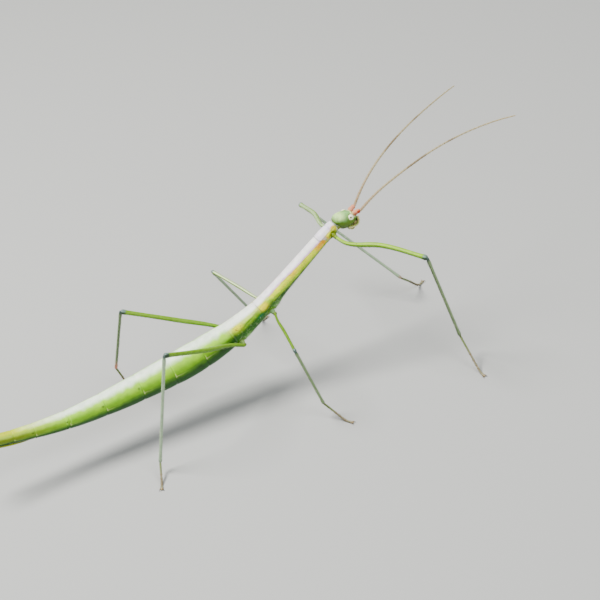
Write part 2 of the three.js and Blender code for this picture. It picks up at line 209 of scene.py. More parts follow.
def flow(table, place, column=1):
    """Reads a table with smooth cubics between its rows. The slope at a row is the harmonic
    mean of the slopes beside it, or level where they differ in sign, so nothing overshoots."""
    rows = np.array(table, float)
    x, y = rows[:, 0], rows[:, column]
    step = np.diff(x)
    slope = np.diff(y) / step
    same = slope[:-1] * slope[1:] > 0
    mean = 2 * slope[:-1] * slope[1:] / np.where(same, slope[:-1] + slope[1:], 1)
    tangent = np.concatenate([[slope[0]], np.where(same, mean, 0), [slope[-1]]])
    k = np.clip(np.searchsorted(x, place, side="right") - 1, 0, len(step) - 1)
    t = np.clip((place - x[k]) / step[k], 0, 1)
    return cubic(t, step[k], (y[k], y[k + 1]), (tangent[k], tangent[k + 1]))


def unit(vectors):
    """Vectors divided by their lengths, along the last axis."""
    return vectors / np.linalg.norm(vectors, axis=-1, keepdims=True)


def grid(rows, sides):
    """For every point of a tube's skin, the place of its ring and its angle from the top, in
    radians: every ring meets every one of the even angles."""
    return np.meshgrid(rows, np.linspace(0, 2 * math.pi, sides, endpoint=False), indexing="ij")


def girth_angle(turn):
    """Degrees from the midline of the back, the same on both sides."""
    return np.degrees(np.minimum(turn, 2 * math.pi - turn))


def waves(a, b, seed, count=9):
    """Even, smooth unevenness from -1 to 1: the mean of sine waves of many lengths and
    directions, with whole numbers of waves round b, which is in degrees."""
    draw = np.random.default_rng(seed)
    lengths = draw.uniform(0.6, 4.0, count)
    turns = draw.integers(-9, 10, count)
    starts = draw.uniform(0, 2 * math.pi, count)
    total = sum(np.sin(a * l + b * DEG * n + p) for l, n, p in zip(lengths, turns, starts))
    return total / count * 1.8


def colour(code):
    """A hexadecimal screen colour as linear light: c / 12.92, or ((c + 0.055) / 1.055)^2.4. A
    colour that is worked out already stays as it is."""
    if not isinstance(code, str):
        return code
    c = np.array([int(code[k:k + 2], 16) for k in (0, 2, 4)]) / 255
    return np.where(c <= 0.04045, c / 12.92, ((c + 0.055) / 1.055) ** 2.4)


def paint(ground, *coats):
    """A colour with coats over it, each a colour and its share, held between 0 and 1: what is
    under it times (1 - share), plus the coat times the share."""
    look = colour(ground)
    for over, share in coats:
        share = np.clip(share, 0, 1)[..., None]
        look = look * (1 - share) + colour(over) * share
    return look


def markings(look, bloom=0.0):
    """A piece's marks: its colours, held between 0 and 1, then its share of wax bloom."""
    return np.concatenate([np.clip(look, 0, 1), np.full((*look.shape[:-1], 1), bloom)], -1)


def trunk_line(s):
    """The axis at distances s behind the neck: its point, its way back and its up. The point
    is the running sum of short steps, each along the slope that FALL gives."""
    step = 0.05
    stops = np.arange(0, SEAMS[-1] + 2, step)
    slope = read(FALL, stops + step / 2) * DEG
    back_sum, down_sum = (tally(part * step)[:-1] for part in (np.cos(slope), np.sin(slope)))
    fall = read(FALL, s) * DEG
    none = np.zeros_like(fall)
    y = CENTRE[1] + NECK[0] + np.interp(s, stops, back_sum)
    point = np.stack([none + CENTRE[0], y, NECK[1] - np.interp(s, stops, down_sum)], -1)
    back = np.stack([none, np.cos(fall), -np.sin(fall)], -1)
    up = np.stack([none, np.sin(fall), np.cos(fall)], -1)
    return point, back, up


def socket_distance(s, girth, kind):
    """How far a place on the trunk is from the middle of a leg's socket, in millimetres: the
    root of the squares of the way along and the way round."""
    at, out, down = HIPS[kind]
    angle = 90 + math.degrees(math.atan2(down, out))
    around = (girth - angle) * DEG * flow(HALF_SIZE, s)
    return np.hypot(s - at, around)


def lean(s, girth):
    """The distance behind the neck as the rings see it. The pronotum is shorter on its sides
    than on the back, so places by its hind edge there count as up to 0.85 mm further back."""
    return s + 0.85 * ease(girth, 42, 84) * hump(s - 4.3, 1.3)


def ring_places(s):
    """Which ring each place is on, and how far it is behind its front and ahead of its end."""
    ring = np.clip(np.searchsorted(SEAMS, s, side="right") - 1, 0, len(RINGS) - 1)
    return ring, s - SEAMS[ring], SEAMS[ring + 1] - s


def trunk_relief(place, girth):
    """How far the wall stands out from a plain tube, in millimetres, by distance behind the
    neck and girth angle. It is a sum of bell curves and steps: lips and tucks at the seams,
    edges and folds along the sides, a keel on the back, furrows, sockets and granules."""
    s = lean(place, girth)
    ring, ahead, behind = ring_places(s)
    share = ahead / (ahead + behind)
    abdomen = ease(s, SEAMS[3] - 0.5, SEAMS[3] + 0.5)
    edge = flow(PLATE_EDGE, s) + abdomen * (3.5 - 14 * (share - 0.5) ** 2)
    ridge = flow(SIDE_RIDGE, s)

    def line(height, at, width):
        """A raised line along the body at a girth angle, or a furrow below 0."""
        return height * hump(girth - at, width)

    relief = 0.04 * hump(behind - 0.16, 0.16) - 0.075 * np.exp(-ahead / 0.3) * (ring > 0)
    relief -= 0.03 * (2 * share - 1) ** 4 * flow(HALF_SIZE, s)
    pleats = np.sin(girth * 1.6 + 3 * np.sin(s * 0.9))
    plates = 0.035 * fade(girth, edge - 1.5, edge + 1.5) + line(-0.09, edge + 3.2, 2.4)
    plates += pleats * line(0.012, edge + 9, 6) + line(0.05, edge + 15, 2.2) + line(0.05, 180, 9)
    sides = line(0.055, edge, 2.6) + line(-0.05, edge + 7, 4) + line(0.07, ridge, 3.0)
    sides += line(-0.06, ridge + 9, 4) + line(-0.04, 150, 3)
    relief += line(0.03, 0, 2.0) + abdomen * plates + (1 - abdomen) * sides

    upper = fade(girth, 84, 96)
    shield = upper * (0.07 * hump(s - 0.3, 0.16) - 0.10 * hump(s - 1.75, 0.16))
    shield += 0.05 * hump(s - 1.15, 0.3) + line(-0.05, 0, 3.5) * hump(s - 2.9, 1.2)
    relief += ease(SEAMS[1] - s, 0.0, 0.1) * shield - 0.06 * hump(s - 29.6, 0.13) * upper
    relief += line(0.42, 124, 24) * hump(s - 22.0, 2.0) + line(0.3, 122, 24) * hump(s - 31.0, 1.8)

    for kind, (at, _, _) in HIPS.items():
        away = socket_distance(place, girth, kind)
        relief += 0.15 * hump(away - SOCKET_RADIUS - 0.1, 0.17)
        relief -= 0.22 * fade(away, 0.4, SOCKET_RADIUS)
        suture = hump(place - at - 0.006 * (girth - 90), 0.09)
        relief -= 0.05 * suture * ease(girth, 62, 70) * ease(away, 1.0, 1.3) * fade(girth, 140, 150)

    draw = np.random.default_rng(11)
    spread = (draw.uniform(*GRANULES[key], GRANULES["count"]) for key in ("along", "around", "size"))
    for at, round_to, size in zip(*spread):
        around = (girth - round_to) * DEG * 2
        relief += 0.45 * size * hump(np.hypot(place - at, around), size)
    return relief


def trunk_look(place, girth):
    """The colours and the wax bloom of the trunk by distance behind the neck and girth angle:
    bands that ease into each other round the body, with blotches and fine specks."""
    uneven = waves(place, girth, 3)
    s = lean(place, girth)
    wander = 2.4 * waves(s, girth, 5) + 0.9 * waves(5 * s, girth * 3, 41, 14)
    girth = girth + wander * ease(girth, 8, 25)
    _, ahead, behind = ring_places(s)
    edge, ridge = flow(PLATE_EDGE, s), flow(SIDE_RIDGE, s)

    def oval(at, length, round_to, width):
        """The share of a blotch: a bell curve along the body times one round it."""
        return hump(s - at, length) * hump(girth - round_to, width)

    def specks(fine, seed, count, low, high):
        """Where crossing waves, so much finer along the body and round it, rise to high."""
        return ease(waves(fine[0] * s, girth * fine[1], seed, count), low, high)

    # The abdomen: whitish back (partly painted highlight), fresh green flanks, dark belly below the
    # plates' edge (partly painted shade).
    rear, tail = ease(s, 73, 88), ease(s, 84, 90)
    near_edge = ease(girth, edge - 22, edge - 8) * fade(girth, edge + 2, edge + 9)
    pores = hump(ahead - 0.55, 0.26) * hump(girth - edge + 27, 5)
    abdomen = paint(
        # The whitish ground of the back is partly a painted highlight.
        paint("F2FFEC", ("D6E48E", rear), ("B4BC24", tail)),
        (paint("A6D65C", ("98B02C", rear)), ease(girth + 5 * uneven, 10, 46)),
        (paint("78B028", ("6E8410", rear)), ease(girth + 5 * uneven, 40, 70)),
        ("3F7212", 0.8 * ease(girth, edge - 9, edge)),
        ("4A7A18", ease(girth, edge, edge + 3)),
        # The dark belly below the plates' edge is partly painted shade.
        (paint("1E4A0C", ("2F4808", rear)), ease(girth, edge + 3, edge + 17)),
        ("1F5232", 0.4 * hump(girth - 132, 20)),
        ("DCE6A8", 0.85 * np.exp(-behind / 1.6) * hump(girth - edge - 0.5, 2.6)),
        ("DCE6A8", 0.6 * hump(behind - 0.14, 0.14) * near_edge),
        ("A5D83A", 0.5 * hump(ahead - 1.6, 1.3) * hump(girth - edge + 26, 13) * (1 - rear)),
        ("5C8A24", 0.4 * hump(ahead - 0.06, 0.12) * ease(girth, 20, 50) * fade(girth, edge, edge + 8)),
        ("2A4418", 0.95 * pores * ease(s, 48, 56) * fade(s, 84, 86)),
    )

    # The thorax: a white back, a lilac line, a yellow to orange stripe, and green below, dark low down as
    # partly painted shade.
    dabs = waves(3.5 * s, girth * 2.5, 61, 16)
    stripe = paint(
        "ECB008", ("D8EC00", ease(s, 6.2, 7.6)),
        ("EEB42A", 0.7 * hump(s - 14.0, 1.1) * fade(girth, 62, 84)),
        ("C98A4A", 0.7 * hump(s - 5.35, 0.3)),
        ("EE9A10", 0.4 * ease(dabs, 0.15, 0.5) * fade(girth, 70, 90)),
        ("F4EE50", 0.5 * ease(-dabs, 0.15, 0.5)),
    )
    granules = specks((9, 5), 51, 18, 0.45, 0.7) * hump(girth - ridge - 34, 30) * ease(s, 6, 9)
    look = paint(
        "F8F6F5", ("F4FBEE", ease(s, 22, 30)),
        ("C3A2CC", 0.75 * hump(girth - edge + 6, 5.0) * fade(s, 24, 26)),
        ("DB8E78", 0.6 * hump(girth - edge + 1, 2.8) * fade(s, 21, 23)),
        (stripe, ease(girth, edge, edge + 5)),
        ("A2C838", ease(girth, ridge - 9, ridge + 1)),
        # The dark green low on the sides and under the belly is partly painted shade.
        ("255012", ease(girth, ridge + 8, ridge + 24)),
        ("7DA050", 0.5 * hump(girth - 180, 16)),
        ("C9DDB4", 0.55 * granules),
        ("5E8A1C", 0.6 * specks((8, 4), 71, 18, 0.05, 0.35) * hump(girth - ridge + 4, 8)),
        ("F6F2B0", 0.7 * specks((7, 4), 81, 18, 0.1, 0.4) * hump(girth - ridge + 12, 9)),
    )

    # The sides about the hind two pairs of hips: patchy greens, yellow, brown and pink.
    middle = ease(s, 21.2, 22.2) * fade(s, 35.0, 35.6)
    yellow = np.maximum(oval(24.1, 1.0, 58, 17), 0.42 * oval(31.9, 1.3, 50, 14))
    speckle = specks((6, 4), 31, 16, 0.2, 0.5)
    patchy = paint(
        "CFE38C", ("7FAA34", ease(girth, 44, 60)), ("2B5A1A", ease(girth, 64, 84)),
        ("E8DC00", 1.7 * yellow), ("6A4A1E", 0.9 * speckle * oval(32.0, 1.6, 54, 20)),
        ("8E5F6E", 0.7 * speckle * oval(26.2, 1.2, 48, 20)),
        ("2C5A16", 0.7 * oval(29.4, 1.6, 62 + 4 * (s - 29.5), 3.5)),
        ("1F6A50", 0.7 * oval(25.9, 0.9, 84, 12)), ("27401F", 0.8 * oval(33.6, 0.5, 76, 12)),
    )
    haunch = 0.9 * (oval(22.3, 1.9, 122, 20) + oval(31.2, 1.5, 124, 16))
    mottled = paint("6F9A5C", ("C6DDAE", specks((4, 3), 33, 14, -0.2, 0.5)))

    # The pronotum: lilac-white above, with two bright yellow blotches low on each side.
    shield = paint(
        "ECE8F0", ("C9BFE0", 0.7 * oval(1.6, 0.35, 32, 16)), ("DC8A6C", 0.9 * oval(0.8, 0.7, 50, 7)),
        ("C9C0B8", ease(girth, 54, 64)), ("9AB03A", 0.7 * ease(girth, 74, 92) * ease(s, 3.4, 4.2)),
        ("E4DC18", 1.8 * oval(0.8, 0.6, 72, 18)), ("FAFA00", 1.9 * oval(2.5, 0.9, 88, 24)),
        ("DDE800", 1.5 * oval(1.1, 0.5, 100, 14)), ("3E5A14", 0.7 * oval(1.75, 0.2, 106, 10)),
        ("E0A24A", 0.7 * oval(3.6, 0.25, 84, 22)), ("4F6E1C", ease(girth, 110, 126)),
    )
    look = paint(
        look, (patchy, middle * ease(girth, 24, 40)), (mottled, haunch),
        ("DDE9B8", 0.5 * granules * middle),
        ("8F7478", 0.6 * hump(s - 25.33, 0.12) * ease(girth, 8, 20) * fade(girth, 60, 76)),
        (shield, fade(s, SEAMS[1] - 0.4, SEAMS[1])),
        ("7E7884", 0.6 * hump(s - SEAMS[1] - 0.05, 0.12) * fade(girth, 60, 80)),
    )
    # Round each leg's socket: a green rim, and painted shade darkening the pit inside it.
    for kind in HIPS:
        away = socket_distance(place, girth, kind)
        rim, pit_shade = 0.8 * hump(away - SOCKET_RADIUS - 0.1, 0.25), 0.85 * fade(away, 0.5, SOCKET_RADIUS)
        look = paint(look, ("5F7E35", rim), ("2A3A1C", pit_shade))
    look = paint(look, (abdomen, ease(s, SEAMS[3] - 0.7, SEAMS[3] + 1.3)))
    look *= (1 + 0.07 * uneven)[..., None]
    return look, (fade(girth, 30, 75) * (1 - 0.6 * tail))[..., None]


# The tubes of every piece by its name, each with its points and markings.
TUBES = {}


def closed_tube(points, marks, first):
    """The corners and faces of one tube. Its rings join up in quads, and a fan to the middle
    of the ring closes each end. The faces are turned round if they enclose a negative volume."""
    rings, sides = points.shape[:2]
    order = first + np.arange(rings * sides).reshape(rings, sides)
    beside = np.roll(order, -1, axis=1)
    quads = np.stack([order[:-1], beside[:-1], beside[1:], order[1:]], -1).reshape(-1, 4)
    middles = first + rings * sides + np.array([0, 1])
    fans = np.concatenate([
        np.stack([beside[0], order[0], np.full(sides, middles[0])], -1),
        np.stack([order[-1], beside[-1], np.full(sides, middles[1])], -1),
    ])
    corners = np.concatenate([points.reshape(-1, 3), points[[0, -1]].mean(1)])
    values = np.concatenate([marks.reshape(-1, 4), marks[[0, -1]].mean(1)])
    a, b, c, d = (corners[quads[:, k] - first] - corners[0] for k in range(4))
    e, f, g = (corners[fans[:, k] - first] - corners[0] for k in range(3))
    if sum(np.sum(u * np.cross(v, w)) for u, v, w in ((a, b, c), (a, c, d), (e, f, g))) < 0:
        quads, fans = quads[:, ::-1], fans[:, ::-1]
    return corners, values, quads, fans


def fill_mesh(name, corners, values, quads, fans, material, slot, nodes=()):
    """One mesh from its corners in millimetres with their markings, its faces of four corners
    and its faces of three. It rides on the model's one body and replaces the nodes named."""
    mesh = bpy.data.meshes.new(name)
    mesh.vertices.add(len(corners))
    mesh.vertices.foreach_set("co", (corners * MM).ravel())
    mesh.loops.add(quads.size + fans.size)
    mesh.loops.foreach_set("vertex_index", np.concatenate([quads.ravel(), fans.ravel()]).astype(np.int32))
    mesh.polygons.add(len(quads) + len(fans))
    starts = np.concatenate([np.arange(len(quads)) * 4, quads.size + np.arange(len(fans)) * 3])
    mesh.polygons.foreach_set("loop_start", starts.astype(np.int32))
    mesh.polygons.foreach_set("use_smooth", np.ones(len(starts), bool))
    mesh.update(calc_edges=True)
    marks = mesh.attributes.new("markings", "FLOAT_COLOR", "POINT")
    marks.data.foreach_set("color", values.ravel())
    mesh.materials.append(material)
    piece = put(name, mesh)
    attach(piece, "root")
    if nodes:
        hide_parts(*nodes)
    return piece


def make_piece(name, tubes, material, slot, nodes=()):
    """One mesh from closed tubes, each a grid of points, its look and its bloom, if any. The
    tubes are kept by the piece's name, for what grows on them."""
    corners, values, quads, fans = [], [], [], []
    tubes = [(points, markings(*marks)) for points, *marks in tubes]
    for points, marks in tubes:
        made = closed_tube(points, marks, sum(len(c) for c in corners))
        for kept, part in zip((corners, values, quads, fans), made):
            kept.append(part)
    TUBES[name] = tubes
    joined = (np.concatenate(part) for part in (corners, values, quads, fans))
    return fill_mesh(name, *joined, material, slot, nodes)


def add_node(tree, kind, inputs, **settings):
    """Adds a shader node with its settings. Each of its inputs named gets a number, a colour,
    or a link from another node's output."""
    node = tree.nodes.new("ShaderNode" + kind)
    for key, value in settings.items():
        setattr(node, key, value)
    for socket, value in inputs.items():
        if isinstance(value, bpy.types.NodeSocket):
            tree.links.new(value, node.inputs[socket])
        else:
            node.inputs[socket].default_value = value
    return node


# How much stronger than painted the colours of the skin are, and how much rougher wax is.
SATURATION = 1.25
WAX = 0.08
# What all the skins share on their shader's own sockets.
SKIN = {
    "Coat Roughness": 0.3, "Specular IOR Level": 0.3, "Subsurface Weight": 0.05,
    "Subsurface Scale": 0.5 * MM, "Subsurface Radius": (0.7, 1.0, 0.4),
}


def cuticle(name, roughness, grain, depth, cloud=1.4, contrast=0.16, coat=0.03):
    """Hard insect skin. Its colour is the piece's markings times a soft cloudy unevenness,
    grain is the size of its fine bumps and depth their height, both in millimetres, and its
    roughness wavers with the clouds and rises where the wax bloom lies."""
    material = bpy.data.materials.new(name)
    material.use_nodes = True
    tree = material.node_tree
    shader = tree.nodes["Principled BSDF"]
    place = add_node(tree, "TexCoord", {}).outputs["Object"]
    marks = add_node(tree, "Attribute", {}, attribute_name="markings")
    clouds = add_node(tree, "TexNoise", {
        "Vector": place, "Scale": 1 / (cloud * MM), "Detail": 5.0,
    }).outputs["Fac"]
    value = add_node(tree, "MapRange", {
        "Value": clouds, "From Min": 0.25, "From Max": 0.75,
        "To Min": 1 - contrast, "To Max": 1 + contrast,
    })
    shade = add_node(tree, "HueSaturation", {
        "Color": marks.outputs["Color"], "Value": value.outputs["Result"], "Saturation": SATURATION,
    })
    tree.links.new(shade.outputs["Color"], shader.inputs["Base Color"])
    rough = add_node(tree, "MapRange", {
        "Value": clouds, "To Min": roughness - 0.1, "To Max": roughness + 0.1,
    })
    waxed = add_node(tree, "Math", {
        0: marks.outputs["Alpha"], 1: WAX, 2: rough.outputs["Result"],
    }, operation="MULTIPLY_ADD")
    tree.links.new(waxed.outputs["Value"], shader.inputs["Roughness"])
    cells = add_node(tree, "TexVoronoi", {
        "Vector": place, "Scale": 1 / (grain * MM),
    }, feature="SMOOTH_F1")
    fine = add_node(tree, "TexNoise", {
        "Vector": place, "Scale": 2.6 / (grain * MM), "Detail": 3.0,
    })
    height = add_node(tree, "Math", {
        0: fine.outputs["Fac"], 1: 0.5, 2: cells.outputs["Distance"],
    }, operation="MULTIPLY_ADD")
    bump = add_node(tree, "Bump", {
        "Height": height.outputs["Value"], "Distance": depth * MM, "Strength": 1.0,
    })
    tree.links.new(bump.outputs["Normal"], shader.inputs["Normal"])
    for socket, setting in {"Coat Weight": coat, **SKIN}.items():
        shader.inputs[socket].default_value = setting
    return material


def ring_points(centre, across, up, half, above, below, angle):
    """Rings of points about a row of centres: sideways by half times the sine of the angle
    from the top, and upwards by its cosine times above, or below where it is negative."""
    centre, across, up = (np.broadcast_to(part, centre.shape)[:, None] for part in (centre, across, up))
    lift = np.cos(angle)
    height = np.where(lift > 0, above, below) * lift
    return centre + across * (half * np.sin(angle))[..., None] + up * height[..., None]


def build_trunk():
    """Rows lie every TRUNK_ROW along the axis and closer at the seams. A ring's points go out
    along its own radius by the relief, and both ends draw in as a quarter of an ellipse."""
    near_seams = [seam + np.linspace(-0.42, 0.6, 18) for seam in SEAMS[1:-1]]
    end = SEAMS[-1]
    rows = [np.arange(0.02, end, TRUNK_ROW), *near_seams, end - np.geomspace(0.01, 0.5, 10)]
    rows = np.unique(np.concatenate(rows))
    s, turn = grid(rows, TRUNK_SIDES)
    girth = girth_angle(turn)
    relief = trunk_relief(s, girth)
    ends = closing((s - end + 0.55) / 0.56, most=1) * closing((0.3 - s) / 0.3)
    half, height = ((flow(HALF_SIZE, s, column) + relief) * ends for column in (1, 2))
    centre, back, up = trunk_line(rows)
    points = ring_points(centre, ACROSS, up, half, height, height, turn)
    skin = cuticle("trunk_cuticle", roughness=0.40, grain=0.22, depth=0.02)
    make_piece("trunk_skin", [(points, *trunk_look(s, girth))], skin, "abdomen_cuticle", RING_NODES)


build_trunk()

# ---- Head: the hard capsule, from the neck to the brow and cheeks ----
# The head is one hard shell. It has a collar at the neck, a low crown with a fine line down its
# middle, a raised rim round each eye and feeler, and a seam under each cheek.
HEAD = {"ahead": -0.3, "lift": 0.88, "nod": 12.0, "turn": 8.0}
# By distance from the neck: half the width, the height above the head's axis, the depth below.
HEAD_PROFILE = (
    (0, 1.0, 0.95, 0.5), (0.4, 1.34, 1.32, 0.95), (1.2, 1.64, 1.56, 1.85), (2.3, 1.8, 1.66, 2.42),
    (3.3, 1.76, 1.58, 2.42), (4.2, 1.54, 1.36, 2.2), (4.6, 1.4, 1.08, 2.0), (5.1, 1.2, 0.55, 1.8),
    (5.6, 0.98, 0.3, 1.5), (6.0, 0.8, 0.2, 1.25),
)
HEAD_LENGTH = 5.85
EYE = {"radius": 0.66, "bulge": 0.54, "along": 3.52, "up": 0.70, "gaze": 0.42}
SCAPE = {"along": 4.6, "out": 0.72, "up": 0.97}
HEAD_SIDES = 112
# The insect's left is at +X.
SIDES = {"left": 1, "right": -1}
HEAD_FRONT = facing(HEAD["turn"], -HEAD["nod"])
HEAD_ACROSS = facing(HEAD["turn"] + 90, 0)
HEAD_UP = np.cross(HEAD_FRONT, HEAD_ACROSS)
HEAD_ROOT = trunk_line(np.array([0.0]))[0][0] + HEAD["ahead"] * HEAD_FRONT + HEAD["lift"] * HEAD_UP


def head_place(along, out, up):
    """A point given along, out of and above the head's axis."""
    along, out, up = (np.asarray(value, float)[..., None] for value in (along, out, up))
    return HEAD_ROOT + along * HEAD_FRONT + out * HEAD_ACROSS + up * HEAD_UP


def eye_seat(side):
    """The middle of an eye's base on the cheek, and the way out from it."""
    cheek, crown = flow(HEAD_PROFILE, EYE["along"]), flow(HEAD_PROFILE, EYE["along"], 2)
    tilt = math.asin(EYE["up"] / crown)
    out = side * math.cos(tilt) * HEAD_ACROSS + math.sin(tilt) * HEAD_UP
    return head_place(EYE["along"], side * cheek * math.cos(tilt), EYE["up"]), out


def feeler_root(side):
    """The middle of a feeler's socket on the brow."""
    return head_place(SCAPE["along"], side * SCAPE["out"], SCAPE["up"])


def nearer(points, pair):
    """How far each point is from the nearer one of a pair of places."""
    return np.minimum(*(np.linalg.norm(points - place, axis=-1) for place in pair))


def head_surface(u, turn, grow=0.0):
    """A point of the head by distance from the neck and angle from the top: a ring whose half
    sizes follow the profile, drawn in at the front as a quarter of an ellipse."""
    front = closing((u - HEAD_LENGTH + 0.62) / 0.63, most=1)
    half, above, below = ((flow(HEAD_PROFILE, u, column) + grow) * front for column in (1, 2, 3))
    lift = np.cos(turn)
    return head_place(u, half * np.sin(turn), np.where(lift > 0, above, below) * lift)


def build_head():
    """The relief is a sum of bell curves of the distances to the eyes' and feelers' middles,
    the crown's midline, the cheek seams and the neck's collar."""
    rows = np.concatenate([np.linspace(0.02, 5.4, 100), HEAD_LENGTH - np.geomspace(0.004, 0.7, 26)])
    u, turn = grid(np.unique(rows), HEAD_SIDES)
    girth = girth_angle(turn)
    plain = head_surface(u, turn)
    crown = hump(girth, 2.4) * ease(u, 0.7, 1.2) * fade(u, 3.2, 4.0)
    seam = girth - 118 + 9 * (u - 3.2)
    relief = 0.05 * hump(girth - 16, 11) * hump(u - 1.5, 0.8) - 0.035 * crown
    relief -= 0.045 * hump(girth - 27, 3.2) * hump(u - 1.3, 0.7)
    relief -= 0.03 * hump(u - 0.42, 0.16) * fade(girth, 130, 150)
    relief -= 0.06 * hump(seam, 3.0) * ease(u, 1.5, 2.2) * fade(u, 4.9, 5.3)
    relief += 0.05 * hump(seam + 10, 5.0) * ease(u, 1.8, 2.6)
    relief -= 0.05 * hump(girth, 17) * hump(u - 4.9, 0.55)
    relief -= 0.03 * hump(girth - 6 - 9 * (u - 3.7), 2.0) * ease(u, 3.6, 3.9) * fade(u, 4.8, 5.2)
    eye = nearer(plain, [eye_seat(side)[0] for side in SIDES.values()])
    feeler = nearer(plain, [feeler_root(side) for side in SIDES.values()])
    relief += 0.08 * hump(eye - 0.75, 0.12) - 0.16 * fade(eye, 0.45, 0.66)
    relief += 0.13 * hump(feeler - 0.60, 0.13) - 0.20 * fade(feeler, 0.3, 0.52)

    uneven = waves(2 * u, girth * 2, 21)
    flecks = ease(waves(5.5 * u, girth * 3, 8, 14), 0.55, 0.8)
    look = paint(
        "97C084", ("779C62", ease(girth, 10, 72)),
        # Darker low on the sides and underneath: partly painted shade.
        ("55741C", ease(girth + 6 * uneven, 80, 100)),
        ("486318", ease(girth + 6 * uneven, 104, 130)),
        # A painted highlight: the pale patch over the rear of the crown.
        ("D6F2AE", 0.88 * hump(u - 1.0, 1.05) * fade(girth, 55, 90)),
        ("E8DCB0", 0.85 * hump(feeler - 0.66, 0.22)),
        ("5D7A34", 0.6 * hump(eye - 0.80, 0.10)),
        ("54702E", 0.5 * hump(eye - 1.12, 0.22) * ease(girth, 70, 84)),
        # Darker low on the front of the head: partly painted shade.
        ("3A5218", 0.55 * ease(u, 4.2, 5.2) * ease(girth, 88, 104)),
        ("8BA45E", 0.5 * hump(girth, 2.0) * ease(u, 0.7, 1.2) * fade(u, 3.2, 4.0)),
        ("5E7A34", 0.5 * flecks * ease(girth, 40, 70)),
    )
    look *= (1 + 0.06 * uneven)[..., None]
    shell = cuticle("head_cuticle", roughness=0.46, grain=0.16, depth=0.022, cloud=0.9)
    tube = (head_surface(u, turn, relief), look, fade(girth, 40, 100)[..., None])
    make_piece("head_capsule", [tube], shell, "head_cuticle", ["head"])


build_head()

# ---- Neck: the soft folded skin between the head and the pronotum ----
# A short sleeve of soft pale skin, with fine folds round it, lets the head nod. It is tucked
# inside the head's collar at one end and inside the pronotum at the other.
NECK_RADIUS = 1.22
NECK_FOLDS = 60
UP = np.array([0, 0, 1.0])


def build_neck():
    """A tube from inside the head to inside the pronotum, whose radius ripples by a sine."""
    rows = np.linspace(0, 1, 60)
    start = head_place(1.5, 0.0, -0.75)
    end = trunk_line(np.array([1.1]))[0][0] - 0.25 * UP
    centre = start + (end - start) * rows[:, None]
    up = unit(np.cross(end - start, ACROSS))
    up *= np.sign(up[2])
    t, turn = grid(rows, 48)
    folds = np.sin(t * NECK_FOLDS)
    half = NECK_RADIUS * (1 + 0.03 * folds - 0.08 * hump(t - 0.5, 0.25))
    points = ring_points(centre, ACROSS, up, half, half * 0.95, half, turn)
    look = paint("8C9896", ("8A9648", ease(girth_angle(turn), 40, 110)), ("55682A", 0.35 + 0.35 * folds))
    soft = cuticle("neck_membrane", roughness=0.55, grain=0.12, depth=0.012, coat=0.0)
    make_piece("neck_sleeve", [(points, look)], soft, "thorax_cuticle")


build_neck()

# ---- Eyes: small cream domes with a dark speck ----
# Each eye is a clear-coated dome of very many tiny facets, cream with a greyish middle and one
# small dark speck. It sits in the raised rim on the cheek.
EYE_SPECK = 14.0


def build_eyes():
    """A dome by angle from its pole: outwards by bulge times the cosine and sideways by radius
    times the sine, down past the rim into the head."""
    fine = {"grain": 0.045, "depth": 0.004, "cloud": 0.5, "contrast": 0.04}
    glaze = cuticle("eye_glaze", roughness=0.20, coat=0.6, **fine)
    for name, side in SIDES.items():
        seat, out = eye_seat(side)
        p, turn = grid(np.linspace(1.0, 118, 60) * DEG, 64)
        ahead = unit(HEAD_FRONT - out * (HEAD_FRONT @ out))
        over = np.cross(out, ahead)
        round_way = [(np.sin(p) * part(turn))[..., None] for part in (np.cos, np.sin)]
        height = (EYE["bulge"] * np.cos(p) - 0.04)[..., None]
        points = seat + out * height + EYE["radius"] * (1.05 * ahead * round_way[0] + over * round_way[1])
        aim = unit(out * np.cos(p)[..., None] + ahead * round_way[0] + over * round_way[1])
        gaze = unit(out - EYE["gaze"] * HEAD_FRONT)
        off = np.degrees(np.arccos(np.clip(aim @ gaze, -1, 1)))
        look = paint(
            "0A0D07", ("8F9C62", ease(off, EYE_SPECK - 3, EYE_SPECK + 2)),
            ("FFFFE6", ease(off, EYE_SPECK + 3, EYE_SPECK + 11)),
            ("F8F8D2", ease(np.degrees(p), 60, 80)), ("6C7440", ease(np.degrees(p), 82, 90)),
        )
        make_piece(f"eye_{name}_dome", [(points, look)], glaze, "eye", [f"eye_{name}"])


build_eyes()

# ---- Mouth: lip, jaws and lower lip under the face ----
# The upper lip hangs from the face in two plates. Behind it are two dark-tipped biting jaws, a
# pair of softer jaws that carry the long palps, and the lower lip with its two short palps.
PLATE_ROWS = 40
PALP_PINCH = {"depth": 0.07, "width": 0.07}
# Each plate and jaw from its top to its end: down, forward, out from the middle, and then half
# its width and half its thickness.
LIP_PLATES = {
    "face_plate": (
        (0.10, 5.50, 0, 0.60, 0.20), (0.45, 5.84, 0, 0.92, 0.32), (0.95, 5.92, 0, 0.98, 0.32),
        (1.26, 5.80, 0, 0.88, 0.22),
    ),
    "upper_lip": (
        (1.20, 5.72, 0, 0.74, 0.20), (1.50, 5.74, 0, 0.86, 0.28), (2.00, 5.52, 0, 0.80, 0.24),
        (2.36, 5.26, 0, 0.50, 0.14),
    ),
    "lower_lip": (
        (2.00, 3.75, 0, 0.60, 0.30), (2.35, 3.95, 0, 0.78, 0.40), (2.75, 4.10, 0, 0.70, 0.36),
        (3.05, 4.20, 0, 0.46, 0.22),
    ),
}
JAWS = {
    "biting_jaw": (
        (0.70, 5.10, 0.80, 0.36, 0.50), (1.30, 5.22, 0.84, 0.40, 0.56), (1.90, 5.10, 0.78, 0.38, 0.50),
        (2.45, 4.90, 0.40, 0.18, 0.20),
    ),
    "soft_jaw": (
        (1.70, 4.45, 0.92, 0.30, 0.36), (2.25, 4.48, 0.86, 0.30, 0.34), (2.75, 4.50, 0.58, 0.24, 0.26),
        (3.00, 4.48, 0.40, 0.12, 0.14),
    ),
}
